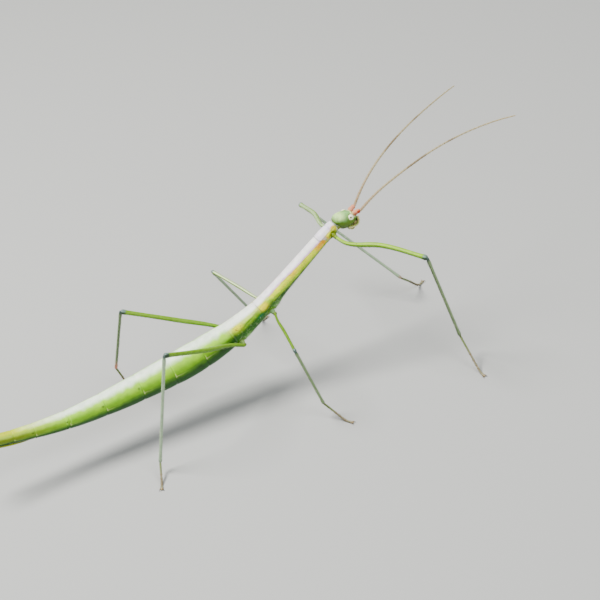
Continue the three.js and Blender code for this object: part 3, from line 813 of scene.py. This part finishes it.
# The long and the short palps: their bends by distance along, out of and above the head's
# axis, their joints by share of their length, the length, and half their thickness by share.
PALPS = (
    (
        (
            (3.2, 1.3, -1.84), (4.1, 1.4, -1.84), (4.95, 1.45, -1.72), (5.5, 1.47, -1.4),
            (5.7, 1.45, -0.85), (5.6, 1.42, -0.1), (5.42, 1.38, 0.45),
        ),
        (0.08, 0.19, 0.42, 0.68), 5.1, ((0, 0.28), (0.2, 0.28), (0.45, 0.27), (0.8, 0.27), (1, 0.2)),
    ),
    (
        ((3.95, 0.72, -2.45), (4.35, 0.84, -2.75), (4.8, 0.84, -2.72), (5.15, 0.74, -2.42)),
        (0.15, 0.5), 1.6, ((0, 0.17), (0.5, 0.15), (0.85, 0.17), (1, 0.13)),
    ),
)


def lengths_along(points):
    """How far along a row of points each one lies, by straight steps."""
    return tally(np.linalg.norm(np.diff(points, axis=0), axis=1))


def path(bends, step):
    """Places every step along a smooth curve through the bends, and closer at both ends. Its
    cubics have, at each bend, the slope of the parabola through the bend and its neighbours."""
    bends = np.array(bends, float)
    reach = lengths_along(bends)
    slope = np.gradient(bends, reach, axis=0)
    at = np.linspace(0, reach[-1], 900)
    k = np.clip(np.searchsorted(reach, at, side="right") - 1, 0, len(bends) - 2)
    gap = (reach[k + 1] - reach[k])[:, None]
    t = (at - reach[k])[:, None] / gap
    fine = cubic(t, gap, (bends[k], bends[k + 1]), (slope[k], slope[k + 1]))
    run = lengths_along(fine)
    ends = step * np.array([0.03, 0.1, 0.25, 0.5, 0.75])
    places = [[0], ends, np.arange(step, run[-1] - step / 3, step), run[-1] - ends, [run[-1]]]
    places = np.unique(np.concatenate(places))
    return places, np.stack([np.interp(places, run, fine[:, k]) for k in range(3)], -1)


def limb(bends, hint, half, step, sides=24, relief=None, cap=0.8, squash=1.0):
    """A closed tube along bends. Its half thickness comes from a table by share of the length,
    plus a relief by distance and angle, and each end draws in as a quarter of an ellipse over
    cap times its half thickness. What would go below the floor lies flat on it. Gives the
    points, their share and distance along, and their angle in degrees, which is counted from
    the underside of a limb that points forwards."""
    places, centre = path(bends, step)
    length = places[-1]
    along = unit(np.gradient(centre, places, axis=0))
    across = unit(hint - along * (along @ hint)[:, None])
    d, turn = grid(places, sides)
    degrees = np.degrees(turn)
    size = flow(half, d / length)
    if relief is not None:
        size = size + relief(d, degrees)
    start, end = cap * half[0][1], cap * half[-1][1]
    size = size * closing((start - d) / start) * closing((end - length + d) / end)
    up = np.cross(across, along)
    points = ring_points(centre, across, up, size, size * squash, size * squash, turn)
    points[..., 2] = np.maximum(points[..., 2], 0.0)
    return points, d / length, d, degrees


def near(d, joints, width):
    """How near the joints a place is: the sum of a bell curve at each."""
    return sum(hump(d - joint, width) for joint in joints)


def build_mouth():
    """Every plate and jaw is a tube down the face through its table's sections, whose rings
    are ellipses. The palps are tubes pinched at their joints and swollen before them."""
    horn = cuticle("mouth_cuticle", roughness=0.42, grain=0.12, depth=0.012, cloud=0.6)
    share = np.linspace(0, 1, PLATE_ROWS)
    t, turn = grid(share, PLATE_ROWS)
    shapes = [(name, rows, 1) for name, rows in LIP_PLATES.items()]
    shapes += [(name, rows, side) for side in SIDES.values() for name, rows in JAWS.items()]
    tubes = []
    for name, rows, side in shapes:
        known = np.linspace(0, 1, len(rows))
        down, front, out, half, thick = (
            flow(np.stack([known, column], -1), share)[:, None] for column in np.array(rows).T
        )
        ends = closing(np.abs(2 * share - 1) * 1.12 - 0.12, power=6)[:, None]
        notch = 0.16 * hump(np.sin(turn), 0.2) * ease(t, 0.7, 1.0) * (name == "upper_lip")
        points = head_place(
            front + thick * ends * np.cos(turn), side * out + half * ends * np.sin(turn), notch - down
        )
        look = paint("8E8A62", ("877A5A", ease(t, 0.5, 1.0)), ("D9D3A0", 0.6 * hump(t - 0.98, 0.07)))
        if name in JAWS:
            look = paint("8E8560", ("7C6650", ease(t, 0.35, 0.75)), ("2A160C", ease(t, 0.72, 0.92)))
        tubes.append((points, look))
    make_piece("mouth_parts", tubes, horn, "mouth", ["mouthparts"])

    soft = cuticle("palp_cuticle", roughness=0.45, grain=0.10, depth=0.008, cloud=0.5)
    for name, side in SIDES.items():
        tubes = []
        for bends, shares, length, half in PALPS:
            joints = np.array(shares) * length

            def pinched(d, turn):
                width = PALP_PINCH["width"]
                swell = near(d + 2.2 * width, joints, 1.6 * width)
                return PALP_PINCH["depth"] * (0.4 * swell - near(d, joints, width))

            bends = [head_place(along, side * out, up) for along, out, up in bends]
            points, t, d, turn = limb(bends, HEAD_ACROSS, half, 0.07, 20, pinched)
            look = paint(
                "98A464", ("E6E0B0", ease(0.5 + 0.5 * np.cos(turn * DEG), 0.1, 0.6)),
                ("C9B78A", 0.5 * ease(t, 0.68, 0.8)), ("5E6A34", 0.6 * near(d, joints, 0.07)),
            )
            tubes.append((points, look))
        make_piece(f"palps_{name}", tubes, soft, "palp", [f"palp_{name}"])


build_mouth()

# ---- Antennae: two base joints and a whip of many short joints ----
# The stout salmon base joint turns in its socket and carries a shorter red one. The whip is
# straw brown, of many short joints that lengthen outwards, with reddish joints near its root.
FEELER_LENGTH = 43.0
FEELER_STEP = 0.1
# The whip begins this far from the feeler's root, inside the end of the base.
WHIP_START = 1.5
WHIP_LENGTH = FEELER_LENGTH - WHIP_START
WHIP_COUNT = 46
WHIP_JOINTS = (np.arange(1, WHIP_COUNT) / WHIP_COUNT) ** 1.25 * WHIP_LENGTH
# By distance from the root: the turn outwards and the rise above level, in degrees.
FEELERS = {
    "left": (
        ((0, 19.3), (43, 26.5)),
        ((0, 18), (1.8, 18), (2.1, 48), (4, 45), (8, 35), (14, 22), (20, 13), (28, 5), (43, -4)),
    ),
    "right": (
        ((0, 8.2), (43, 22.4)),
        ((0, 10), (1.8, 10), (2.1, 40), (4, 38), (10, 29), (19, 26), (28, 18), (36, 11), (43, 3)),
    ),
}
# Half the base's and half the whip's thickness, by share of the length.
BASE_HALF = (
    (0, 0.40), (0.12, 0.42), (0.24, 0.57), (0.42, 0.60), (0.58, 0.52), (0.64, 0.46), (0.74, 0.53),
    (0.88, 0.48), (1, 0.32),
)
WHIP_HALF = ((0, 0.33), (0.06, 0.30), (0.16, 0.26), (0.3, 0.235), (0.6, 0.19), (0.85, 0.15), (1, 0.11))


def feeler_line(name, side):
    """Points every FEELER_STEP from the feeler's root: the running sum of its direction, which
    turns outwards and rises by its two tables."""
    turn, rise = FEELERS[name]
    s = np.arange(0, FEELER_LENGTH, FEELER_STEP)
    return feeler_root(side) + tally(facing(side * read(turn, s), read(rise, s)) * FEELER_STEP)[:-1]


def ringed(d, turn):
    """The whip's relief: each joint ends in a slight ring and the next begins in a groove,
    both half as high at the tip as at the root."""
    rings = near(d + 0.05, WHIP_JOINTS, 0.06) - 0.8 * near(d - 0.05, WHIP_JOINTS, 0.05)
    return 0.028 * rings * (1 - 0.5 * d / WHIP_LENGTH)


def build_antennae():
    """The base is a tube with a pinch between its two joints. It begins inside the head and is
    bent at every sixth point of the feeler's line, and the whip at every fifth. Each joint of
    the whip ends at its length times the 1.25th power of the joint's share of their count, so
    the joints lengthen."""
    hard = cuticle("feeler_cuticle", roughness=0.48, grain=0.09, depth=0.007, cloud=0.7)
    for name, side in SIDES.items():
        line = feeler_line(name, side)
        hint = facing(side * 15 + 90, 0)
        base = [line[0] - 0.35 * unit(line[8] - line[0]), *line[0:19:6]]
        points, t, d, turn = limb(base, hint, BASE_HALF, 0.05, 32)
        below, outer = np.cos(turn * DEG), side * np.sin(turn * DEG)
        look = paint(
            "D6A08A", ("B06A5C", ease(below + 0.3 * outer, -0.6, 0.8)),
            ("9A352C", 0.72 * ease(t, 0.60, 0.70) * ease(outer + 0.5 * below, -0.3, 0.6)),
            ("8A4436", 0.35 * hump(t - 0.64, 0.025)), ("C9B98A", 0.8 * fade(t, 0.14, 0.24)),
        )
        piece = f"feeler_base_{name}"
        make_piece(piece, [(points, look)], hard, "antenna_base", [f"antenna_base_{name}"])

        whip = line[round(WHIP_START / FEELER_STEP)::5]
        points, t, d, turn = limb(whip, hint, WHIP_HALF, 0.11, 14, ringed)
        near_joint = near(d, WHIP_JOINTS, 0.10)
        dark = ease(d, 14, 15) * fade(d, 19, 20.5) + hump(d - 26, 1.1)
        look = paint(
            "A2977C", ("E2DAC0", ease(np.cos(turn * DEG), -0.5, 0.7)),
            ("A4685C", 0.55 * near_joint * fade(d, 3, 12)), ("7C6A44", 0.5 * near_joint * ease(d, 6, 12)),
            ("5F4A33", 0.62 * np.clip(dark, 0, 1)), ("B9A87C", 0.4 * ease(d, 30, 41)),
        )
        make_piece(f"feeler_{name}", [(points, look)], hard, "antenna", [f"antenna_{name}"])


build_antennae()

# ---- Legs: coxa, femur, tibia and foot of each of the six legs ----
# Each leg has a short coxa on the flank, a small ring at the hip, a long ridged thigh (femur),
# a longer thin shin (tibia) with four ridges, and a foot of five joints with pads and two claws.
FOOT_JOINTS = (0.46, 0.60, 0.71, 0.79)
TOOTH_SPACING = 0.95
# Each pair: the femur's, the tibia's and the foot's length, how stout the femur is, how high
# its ridges are, and the height of the bow it makes.
LEG_KINDS = {
    "front": (25.2, 29.3, 11.3, 1.0, 0.05, 0.5),
    "mid": (17.45, 17.3, 8.0, 0.68, 0.0425, 0.0),
    "hind": (27.0, 26.9, 6.8, 0.95, 0.0475, 0.3),
}
# Each leg: its pair, where its toes rest on the floor, the way they point in degrees from +X
# towards +Y, the height of the ankle, how far the knee swings round from straight up, and the
# small hook its femur makes near the hip, the other way than the bow.
STANCE = {
    "right_front": ("front", (-28.4, -42.3), -178, 6.0, 26, 0.9),
    "right_mid": ("mid", (-25.2, -10.9), -147, 3.7, 18, 0.1),
    "right_hind": ("hind", (-20.4, 33.3), 157, 2.6, -5.3, 0.2),
    "left_front": ("front", (12.0, -47.8), -57, 7.1, -82, 0.3),
    "left_mid": ("mid", (22.6, -11.2), -63, 5.7, -33, 0.1),
    "left_hind": ("hind", (17.9, 25.1), -129, 5.0, -26, -0.4),
}
FEMUR_HALF = (
    (0, 0.36), (0.03, 0.42), (0.12, 0.42), (0.4, 0.54), (0.8, 0.49), (0.94, 0.52), (0.975, 0.6),
    (1, 0.5),
)
TIBIA_HALF = ((0, 0.3), (0.03, 0.34), (0.06, 0.4), (0.12, 0.34), (0.9, 0.32), (0.97, 0.38), (1, 0.34))
COXA_HALF = ((0, 0.66), (0.3, 0.64), (0.6, 0.56), (0.85, 0.46), (1, 0.38))
HIP_RING_HALF = ((0, 0.40), (0.35, 0.47), (0.8, 0.45), (1, 0.34))
FOOT_HALF = ((0, 0.25), (0.1, 0.23), (0.4, 0.23), (0.8, 0.22), (0.9, 0.25), (1, 0.25))
PAD_HALF = ((0, 0.2), (0.5, 0.3), (1, 0.26))
CLAW_HALF = ((0, 0.1), (0.4, 0.085), (1, 0.025))
# A claw's bends: how far out along its way, and how far up.
CLAW = ((0, 0), (0.32, 0.08), (0.6, -0.1), (0.68, -0.24))
# The last joint of a foot is TOE long. Its middle stands FOOT_REST above the floor, as the
# middle of an eight-sided rod does that lies on one of its flats.
TOE = 1.7
FOOT_REST = 0.29 * math.cos(math.pi / 8)
# The ridges of femur and tibia, and their toothed ones, in degrees from the limb's underside.
RIDGES = (45, 135, 225, 315)
TOOTHED = (45, 315)
# The coxae's lower and upper colours, painted shade and painted light by height: the front
# ones take up the yellow of the blotches.
COXA_LOOKS = {"front": ("3E5412", "6A7E20"), "mid": ("35542A", "8AAA78"), "hind": ("3F5F22", "94B070")}
# By leg: how clear the painted highlight on the femur's top is and its colour, how far the femur
# and the tibia are paled to grey, how light the femur is, the colour of the ankle, and where it begins.
LEG_LOOKS = {
    "right_front": (0.85, "A4CC20", 0.0, 0.1, 1.05, "4A4F38", 0.97),
    "right_mid": (0.3, "90B45C", 0.2, 0.1, 0.5, "4A4F38", 0.97),
    "right_hind": (0.25, "A8CC6C", 0.35, 0.85, 0.85, "8C9A84", 0.97),
    "left_front": (0.75, "C4D8AC", 0.75, 0.6, 1.0, "8F7A6A", 0.97),
    "left_mid": (1.0, "E8F2CC", 0.2, 0.7, 0.8, "7A7F68", 0.97),
    "left_hind": (0.2, "B0C860", 0.05, 0.1, 0.92, "D08E84", 0.82),
}


def bones(name):
    """The leg's joints in space. The knee lies over the line from hip to ankle, at the corner
    of the triangle with the femur's and the tibia's lengths, turned about that line."""
    kind, foot, heading, ankle_height, swing, hook = STANCE[name]
    femur, tibia, tarsus, stout, ridge, bow = LEG_KINDS[kind]
    side = SIDES[name.split("_")[0]]
    at, out, down = HIPS[kind]
    point, _, up = (value[0] for value in trunk_line(np.array([float(at)])))
    hip = point + side * out * ACROSS - up * down
    outwards = unit(hip - point)
    ahead = facing(heading + 90, 0)
    tip = np.array([foot[0] + CENTRE[0], foot[1] + CENTRE[1], FOOT_REST])
    toe = tip - ahead * TOE
    rise = ankle_height - FOOT_REST
    ankle = toe - ahead * math.sqrt((tarsus - TOE) ** 2 - rise**2) + UP * rise
    span = np.linalg.norm(ankle - hip)
    way = (ankle - hip) / span
    above = unit(UP - way * way[2])
    lift = above * math.cos(swing * DEG) + np.cross(way, above) * math.sin(swing * DEG)
    along = (femur**2 - tibia**2 + span**2) / (2 * span)
    knee = hip + way * along + math.sqrt(femur**2 - along**2) * lift
    bend = unit(np.cross(knee - hip, ankle - knee))
    return SimpleNamespace(
        name=name, kind=kind, seed=list(STANCE).index(name), stout=stout, ridge=ridge, hip=hip,
        root=point + outwards * (read(HALF_SIZE, at) - 0.35), outwards=outwards, knee=knee,
        ankle=ankle, toe=toe, tip=tip, ahead=ahead, bend=bend,
        hook=bend * side * hook, bow=-bend * side * bow,
    )


def near_ridges(turn, width, ridges=RIDGES):
    """The sum of a bell curve at each ridge, by the angle between it and the place."""
    return sum(hump((turn - ridge + 180) % 360 - 180, width) for ridge in ridges)


def ridged(height, teeth, seed):
    """A relief of the four ridges, with teeth along the toothed ones: the sixth power of a
    cosine along the limb, where that is above 0."""
    def relief(d, turn):
        tooth = np.clip(np.cos(d * 2 * math.pi / TOOTH_SPACING + seed), 0, 1) ** 6
        return height * (near_ridges(turn, 11) - 0.35) + teeth * near_ridges(turn, 9, TOOTHED) * tooth
    return relief


def build_hip(leg):
    """The coxa is a tapered tube from inside the flank, and the ring a short thicker one."""
    half_way = (leg.root + leg.hip) / 2
    bends = [leg.root, half_way, leg.hip + leg.outwards * 0.06]
    coxa, t, d, turn = limb(bends, leg.bend, COXA_HALF, 0.12, 32, cap=0.4)
    lower, upper = COXA_LOOKS[leg.kind]
    # Painted light: lighter the higher a place stands above the hip, and darker below it.
    shade = ease(coxa[..., 2] - leg.hip[2], -0.6, 0.6)
    look = paint(lower, (upper, shade), ("C9B98A", 0.5 * hump(t - 0.93, 0.06)))
    bends = [leg.hip + leg.outwards * reach for reach in (-0.15, 0.3, 0.58)]
    ring, t, d, turn = limb(bends, leg.bend, HIP_RING_HALF, 0.08, 32)
    # The hip ring is painted the same way: lighter above, darker below.
    ring_look = paint("3C5618", ("7A9450", ease(ring[..., 2] - leg.hip[2], -0.4, 0.5)))
    tubes = [(coxa, look), (ring, ring_look)]
    make_piece(f"{leg.name}_coxa_and_ring", tubes, leg_cuticle, "femur_cuticle", [f"{leg.name}_coxa"])


def build_thigh(leg):
    """A ridged tube with a small hook near the hip and a bow in its middle."""
    thigh = leg.knee - leg.hip
    start, middle = leg.hip + leg.outwards * 0.34, leg.hip + thigh / 2 + leg.bow
    bends = [start, leg.hip + thigh * 0.12 + leg.hook, middle, leg.knee]
    half = [(share, size * leg.stout) for share, size in FEMUR_HALF]
    relief = ridged(leg.ridge, 0.05, leg.seed)
    points, t, d, turn = limb(bends, leg.bend, half, 0.17, 40, relief, cap=0.7)
    upper = -np.cos(turn * DEG)
    top_highlight, highlight_look, paled, _, light, _, _ = LEG_LOOKS[leg.name]
    # Lighter on the femur's upper side and darker below: partly painted highlight and shade.
    ground = paint("3F620C", ("689812", ease(upper, -0.8, 0.1)), ("8A9F78", paled)) * light
    # Dark knees, with a painted highlight on their upper side.
    knee = paint("20292B", ("68787A", ease(upper, 0.6, 0.95)))
    look = paint(
        ground, ("8FA57A", 0.7 * (leg.kind == "front") * fade(t, 0.08, 0.2)),
        # A painted highlight: the pale line along the femur's top.
        (highlight_look, 0.8 * top_highlight * ease(upper, 0.78, 0.97)),
        ("A6C040", 0.3 * near_ridges(turn, 8)), (knee, 0.9 * ease(t, 0.945, 0.975)),
    ) * (1 + 0.08 * waves(d, turn, 40 + leg.seed))[..., None]
    nodes = [f"{leg.name}_femur"]
    make_piece(f"{leg.name}_thigh", [(points, look, 0.3)], leg_cuticle, "femur_cuticle", nodes)


def build_shin(leg):
    """A straight ridged tube from inside the knee to the ankle."""
    shin = leg.ankle - leg.knee
    bends = [leg.knee - unit(shin) * 0.1, leg.knee + shin * 0.5, leg.ankle]
    points, t, d, turn = limb(bends, leg.bend, TIBIA_HALF, 0.17, 32, ridged(0.035, 0.035, leg.seed))
    upper = -np.cos(turn * DEG)
    _, _, _, paled, _, ankle_look, ankle_from = LEG_LOOKS[leg.name]
    # Darker below and lighter on the upper side: partly painted shade and highlight.
    look = paint(
        "39482A", ("566A42", ease(upper, -0.9, 0.1)), ("788C66", ease(upper, 0.3, 0.95)),
        # The tibia paled towards grey by leg.
        ("A5B8A0", paled), ("93A06A", 0.25 * near_ridges(turn, 8)),
        ("22343A", 0.85 * fade(t, 0.01, 0.045)), (ankle_look, 0.85 * ease(t, ankle_from, 0.985)),
    ) * (1 + 0.08 * waves(d, turn, 60 + leg.seed))[..., None]
    nodes = [f"{leg.name}_tibia"]
    make_piece(f"{leg.name}_shin", [(points, look, 0.2)], leg_cuticle, "tibia_cuticle", nodes)


def build_foot(leg):
    """The foot is a tube pinched at its joints, with a pad under each and a flattened lobe at
    its end. Two hooked claws spread from its tip."""
    toe, tip, ahead, shank = leg.toe, leg.tip, leg.ahead, leg.toe - leg.ankle
    across = unit(np.cross(ahead, UP))
    length = np.linalg.norm(shank) + TOE
    cuts = np.array(FOOT_JOINTS) * length

    def padded(d, turn):
        pads = near(d + 0.28, (*cuts, length - 0.25), 0.2) * (1 + hump(turn - 180, 50))
        return 0.05 * pads - 0.07 * near(d, cuts, 0.09)

    bends = [leg.ankle, leg.ankle + shank * 0.5, toe - shank * 0.06, toe + ahead * 0.25, tip]
    foot, t, d, turn = limb(bends, across, FOOT_HALF, 0.08, 24, padded)
    # Painted light and shade: the foot's upper side is lighter and its underside darker.
    upper = np.cos(turn * DEG) * np.sign(np.cross(across, shank)[2])
    look = paint(
        "4C4838", ("7C7860", ease(upper, -0.5, 0.8)), ("5C7040", 0.7 * fade(d, 0.5 * cuts[0], cuts[0])),
        ("8A5A4C", 0.4 * near(d, (0.0, *cuts), 0.16)), ("A09A84", 0.6 * ease(t, 0.9, 0.97)),
    )
    ends = np.array([tip - ahead * 0.3, tip + ahead * 0.18 - UP * 0.06])
    pad, t, d, turn = limb([ends[0], ends.mean(0), ends[1]], across, PAD_HALF, 0.05, 20, squash=0.6)
    pad_look = paint("B7AC8E", ("8C8064", ease(t, 0.6, 1.0)))
    tubes = [(foot, look), (pad, pad_look)]
    make_piece(f"{leg.name}_foot_joints", tubes, leg_cuticle, "foot", [f"{leg.name}_tarsus"])

    claws = []
    for spread in (1, -1):
        root = tip - ahead * 0.25 + across * 0.12 * spread + UP * 0.06
        way = ahead + across * 0.55 * spread
        bends = [root + way * reach + UP * rise for reach, rise in CLAW]
        points, t, d, turn = limb(bends, across, CLAW_HALF, 0.03, 14)
        claws.append((points, paint("8A6A44", ("22140C", ease(t, 0.2, 0.8)))))
    make_piece(f"{leg.name}_claws", claws, leg_cuticle, "foot")


leg_cuticle = cuticle("leg_cuticle", roughness=0.44, grain=0.13, depth=0.012, cloud=1.0)
for leg in map(bones, STANCE):
    build_hip(leg)
    build_thigh(leg)
    build_shin(leg)
    build_foot(leg)

# ---- Tail: the plates round the end of the body ----
# A small pointed plate closes the back at the end. Under the last rings a plate shaped like a
# boat covers the egg opening, and a pair of short soft cerci stands out behind.
EGG_PLATE = {"from": 83.6, "to": 95.2, "half": 1.1}
CERCUS = {"length": 2.1, "out": 0.42, "spread": 0.15}
CERCUS_HALF = ((0, 0.32), (0.4, 0.30), (0.8, 0.24), (1, 0.16))
END_PLATE_HALF = ((0, 0.7), (0.4, 0.62), (0.8, 0.38), (1, 0.16))


def build_tail():
    """The boat's rings are the lower part of an ellipse, and shrink as the root of a sine to
    both ends. The cerci are tapered tubes, and the end plate is a flattened one."""
    hard = cuticle("tail_cuticle", roughness=0.42, grain=0.16, depth=0.015)
    rows = np.linspace(0.001, 0.999, 110)
    s = EGG_PLATE["from"] + (EGG_PLATE["to"] - EGG_PLATE["from"]) * rows
    full = np.sqrt(np.sin(math.pi * (0.06 + 0.9 * rows))) * closing(np.abs(2 * rows - 1) * 20 - 19)
    centre, back, up = trunk_line(s)
    centre = centre - up * (flow(HALF_SIZE, s, 2) - 0.05 - 0.35 * ease(rows, 0.8, 1.0))[:, None]
    t, turn = grid(rows, 48)
    keel = 0.14 * hump(np.sin(turn), 0.22) * (np.cos(turn) < 0) * full[:, None]
    half = EGG_PLATE["half"] * full[:, None] * np.ones_like(turn)
    points = ring_points(centre, ACROSS, up, half, half * 0.28, half * 0.42 + keel, turn)
    look = paint(
        "6F8230", ("97A247", ease(np.abs(np.sin(turn)), 0.5, 1.0)), ("B9A757", 0.6 * ease(t, 0.85, 1.0))
    )
    make_piece("egg_plate", [(points, look)], hard, "tail_cuticle", ["subgenital_plate"])

    end, back, up = (value[0] for value in trunk_line(np.array([SEAMS[-1]])))
    for name, side in SIDES.items():
        root = end - back * 0.3 + ACROSS * side * CERCUS["out"]
        tip = end + back * (CERCUS["length"] + 0.1) + ACROSS * side * (CERCUS["out"] + CERCUS["spread"])
        bends = [root, (root + tip) / 2 + up * 0.08, tip]
        points, t, d, turn = limb(bends, ACROSS, CERCUS_HALF, 0.07)
        tube = (points, paint("8C8F42", ("B9AC62", ease(t, 0.3, 1.0))))
        make_piece(f"cercus_{name}_cone", [tube], hard, "tail_cuticle", [f"cercus_{name}"])
    bends = [end + back * along + up * above for along, above in ((-0.9, 0.42), (0.3, 0.40), (1.0, 0.2))]
    points, t, d, turn = limb(bends, ACROSS, END_PLATE_HALF, 0.07, 32, squash=0.45)
    look = paint("A9AE4E", ("8C8A3C", ease(t, 0.4, 1.0)))
    make_piece("end_plate", [(points, look)], hard, "tail_cuticle")


build_tail()

# ---- Bristles: fine stiff hairs on the limbs, the face and the flanks of the thorax ----
# Short pale bristles stand sparsely on the legs, feet, feelers, palps and face, and along the
# flanks of the thorax. Each grows from a pit in the cuticle and leans towards the limb's tip.
# This is half a bristle's thickness at its root.
BRISTLE_HALF = 0.016
# Each row: part of the pieces' names, how many bristles a piece has, the shares of its length
# and the angles round it between which they stand, and their length.
BODY_BRISTLES = (
    ("trunk_skin", 1100, (0.05, 0.345), (62, 150), 0.42),
    ("head_capsule", 200, (0.45, 0.98), (0, 170), 0.20),
    ("palps_", 60, (0.2, 0.98), (0, 180), 0.22),
    ("feeler_left", 420, (0.0, 0.99), (0, 180), 0.34),
    ("feeler_right", 420, (0.0, 0.99), (0, 180), 0.34),
)
LEG_BRISTLES = (
    ("_thigh", 300, (0.03, 0.96), (0, 180), 0.34),
    ("_shin", 340, (0.03, 0.99), (0, 180), 0.38),
    ("_foot_joints", 170, (0.02, 0.96), (0, 180), 0.28),
)
# The unwrap is a square of BRISTLE_TILES tiles each way, a tile for each tube, and in its tile
# each bristle has a patch of this size.
BRISTLE_TILES = 6
BRISTLE_PATCH = 0.003
# A bristle has two rings of three corners and a tip, and these faces between them.
BRISTLE_CORNERS = 7
BRISTLE_QUADS = np.array([(0, 1, 4, 3), (1, 2, 5, 4), (2, 0, 3, 5)])
BRISTLE_FANS = np.array([(2, 1, 0), (3, 4, 6), (4, 5, 6), (5, 3, 6)])


def grow(tube, tile, count, along, round_to, length, chance):
    """The corners, markings and map places of a tube's bristles. Each is a cone of three sides
    from a random place of the tube, bent half way up towards the tube's end. Its corners lie
    within one small patch of the map, in its tile of the tube's own unwrap. A bristle that
    would reach below the floor is left out."""
    points, marks = tube
    rows, sides = points.shape[:2]
    run = lengths_along(points.mean(1))
    share = chance.uniform(*along, count)
    turn = chance.uniform(*round_to, count) * chance.choice([-1, 1], count) / 360
    row = np.clip(np.searchsorted(run / run[-1], share), 1, rows - 2)
    side = np.rint(turn * sides).astype(int) % sides
    root = points[row, side]
    lie = unit(points[row + 1, side] - points[row - 1, side])
    round_way = points[row, (side + 1) % sides] - points[row, side - 1]
    out = unit(np.cross(lie, round_way))
    out *= np.sign(np.sum(out * (root - points.mean(1)[row]), -1))[:, None]
    size = (length * chance.uniform(0.6, 1.25, count))[:, None]
    way = unit(out + lie * chance.uniform(0.35, 0.9, (count, 1)))
    beside = unit(np.cross(way, out + 2 * lie))
    over = np.cross(way, beside)
    corners, places = [], []
    column, line = tile % BRISTLE_TILES, tile // BRISTLE_TILES
    spot = np.stack([column + 0.03 + 0.94 * share, line + 0.03 + 0.94 * (turn % 1)], -1) / BRISTLE_TILES
    for height, thick in ((-0.04, 1.0), (0.5, 0.75)):
        for k in range(3):
            c, s = math.cos(k * 2 * math.pi / 3), math.sin(k * 2 * math.pi / 3)
            corners.append(root + way * size * height + (beside * c + over * s) * BRISTLE_HALF * thick)
            places.append(spot + np.array([c, s]) * BRISTLE_PATCH * 0.5 * thick)
    corners.append(root + (way + unit(way + 0.7 * lie)) * size * 0.5)
    places.append(spot)
    pale = markings(paint(marks[row, side, :3], ("EFF0D2", np.full(count, 0.6))))
    corners, places = np.stack(corners, 1), np.stack(places, 1)
    clear = corners[..., 2].min(1) > 0
    values = np.repeat(pale[clear], BRISTLE_CORNERS, 0)
    return corners[clear].reshape(-1, 3), values, places[clear].reshape(-1, 2)


def build_bristles():
    """Two pieces, the body's and the limbs', each with its bristles' patches in one map."""
    chance = np.random.default_rng(11)
    stiff = cuticle("bristle_cuticle", roughness=0.36, grain=0.06, depth=0.001, coat=0.0)
    body = ("body_bristles", "thorax_cuticle", BODY_BRISTLES)
    legs = ("leg_bristles", "tibia_cuticle", LEG_BRISTLES)
    for name, slot, kinds in (body, legs):
        grown = []
        for mark, *growth in kinds:
            for piece in (piece for piece in TUBES if mark in piece):
                grown.append(grow(TUBES[piece][0], len(grown), *growth, chance))
        corners, values, places = (np.concatenate(part) for part in zip(*grown))
        first = np.arange(0, len(corners), BRISTLE_CORNERS)[:, None, None]
        quads, fans = (first + BRISTLE_QUADS).reshape(-1, 4), (first + BRISTLE_FANS).reshape(-1, 3)
        piece = fill_mesh(name, corners, values, quads, fans, stiff, slot)
        unwrap = piece.data.uv_layers.new(name="OFBake")
        unwrap.data.foreach_set("uv", places[np.concatenate([quads.ravel(), fans.ravel()])].ravel())


build_bristles()
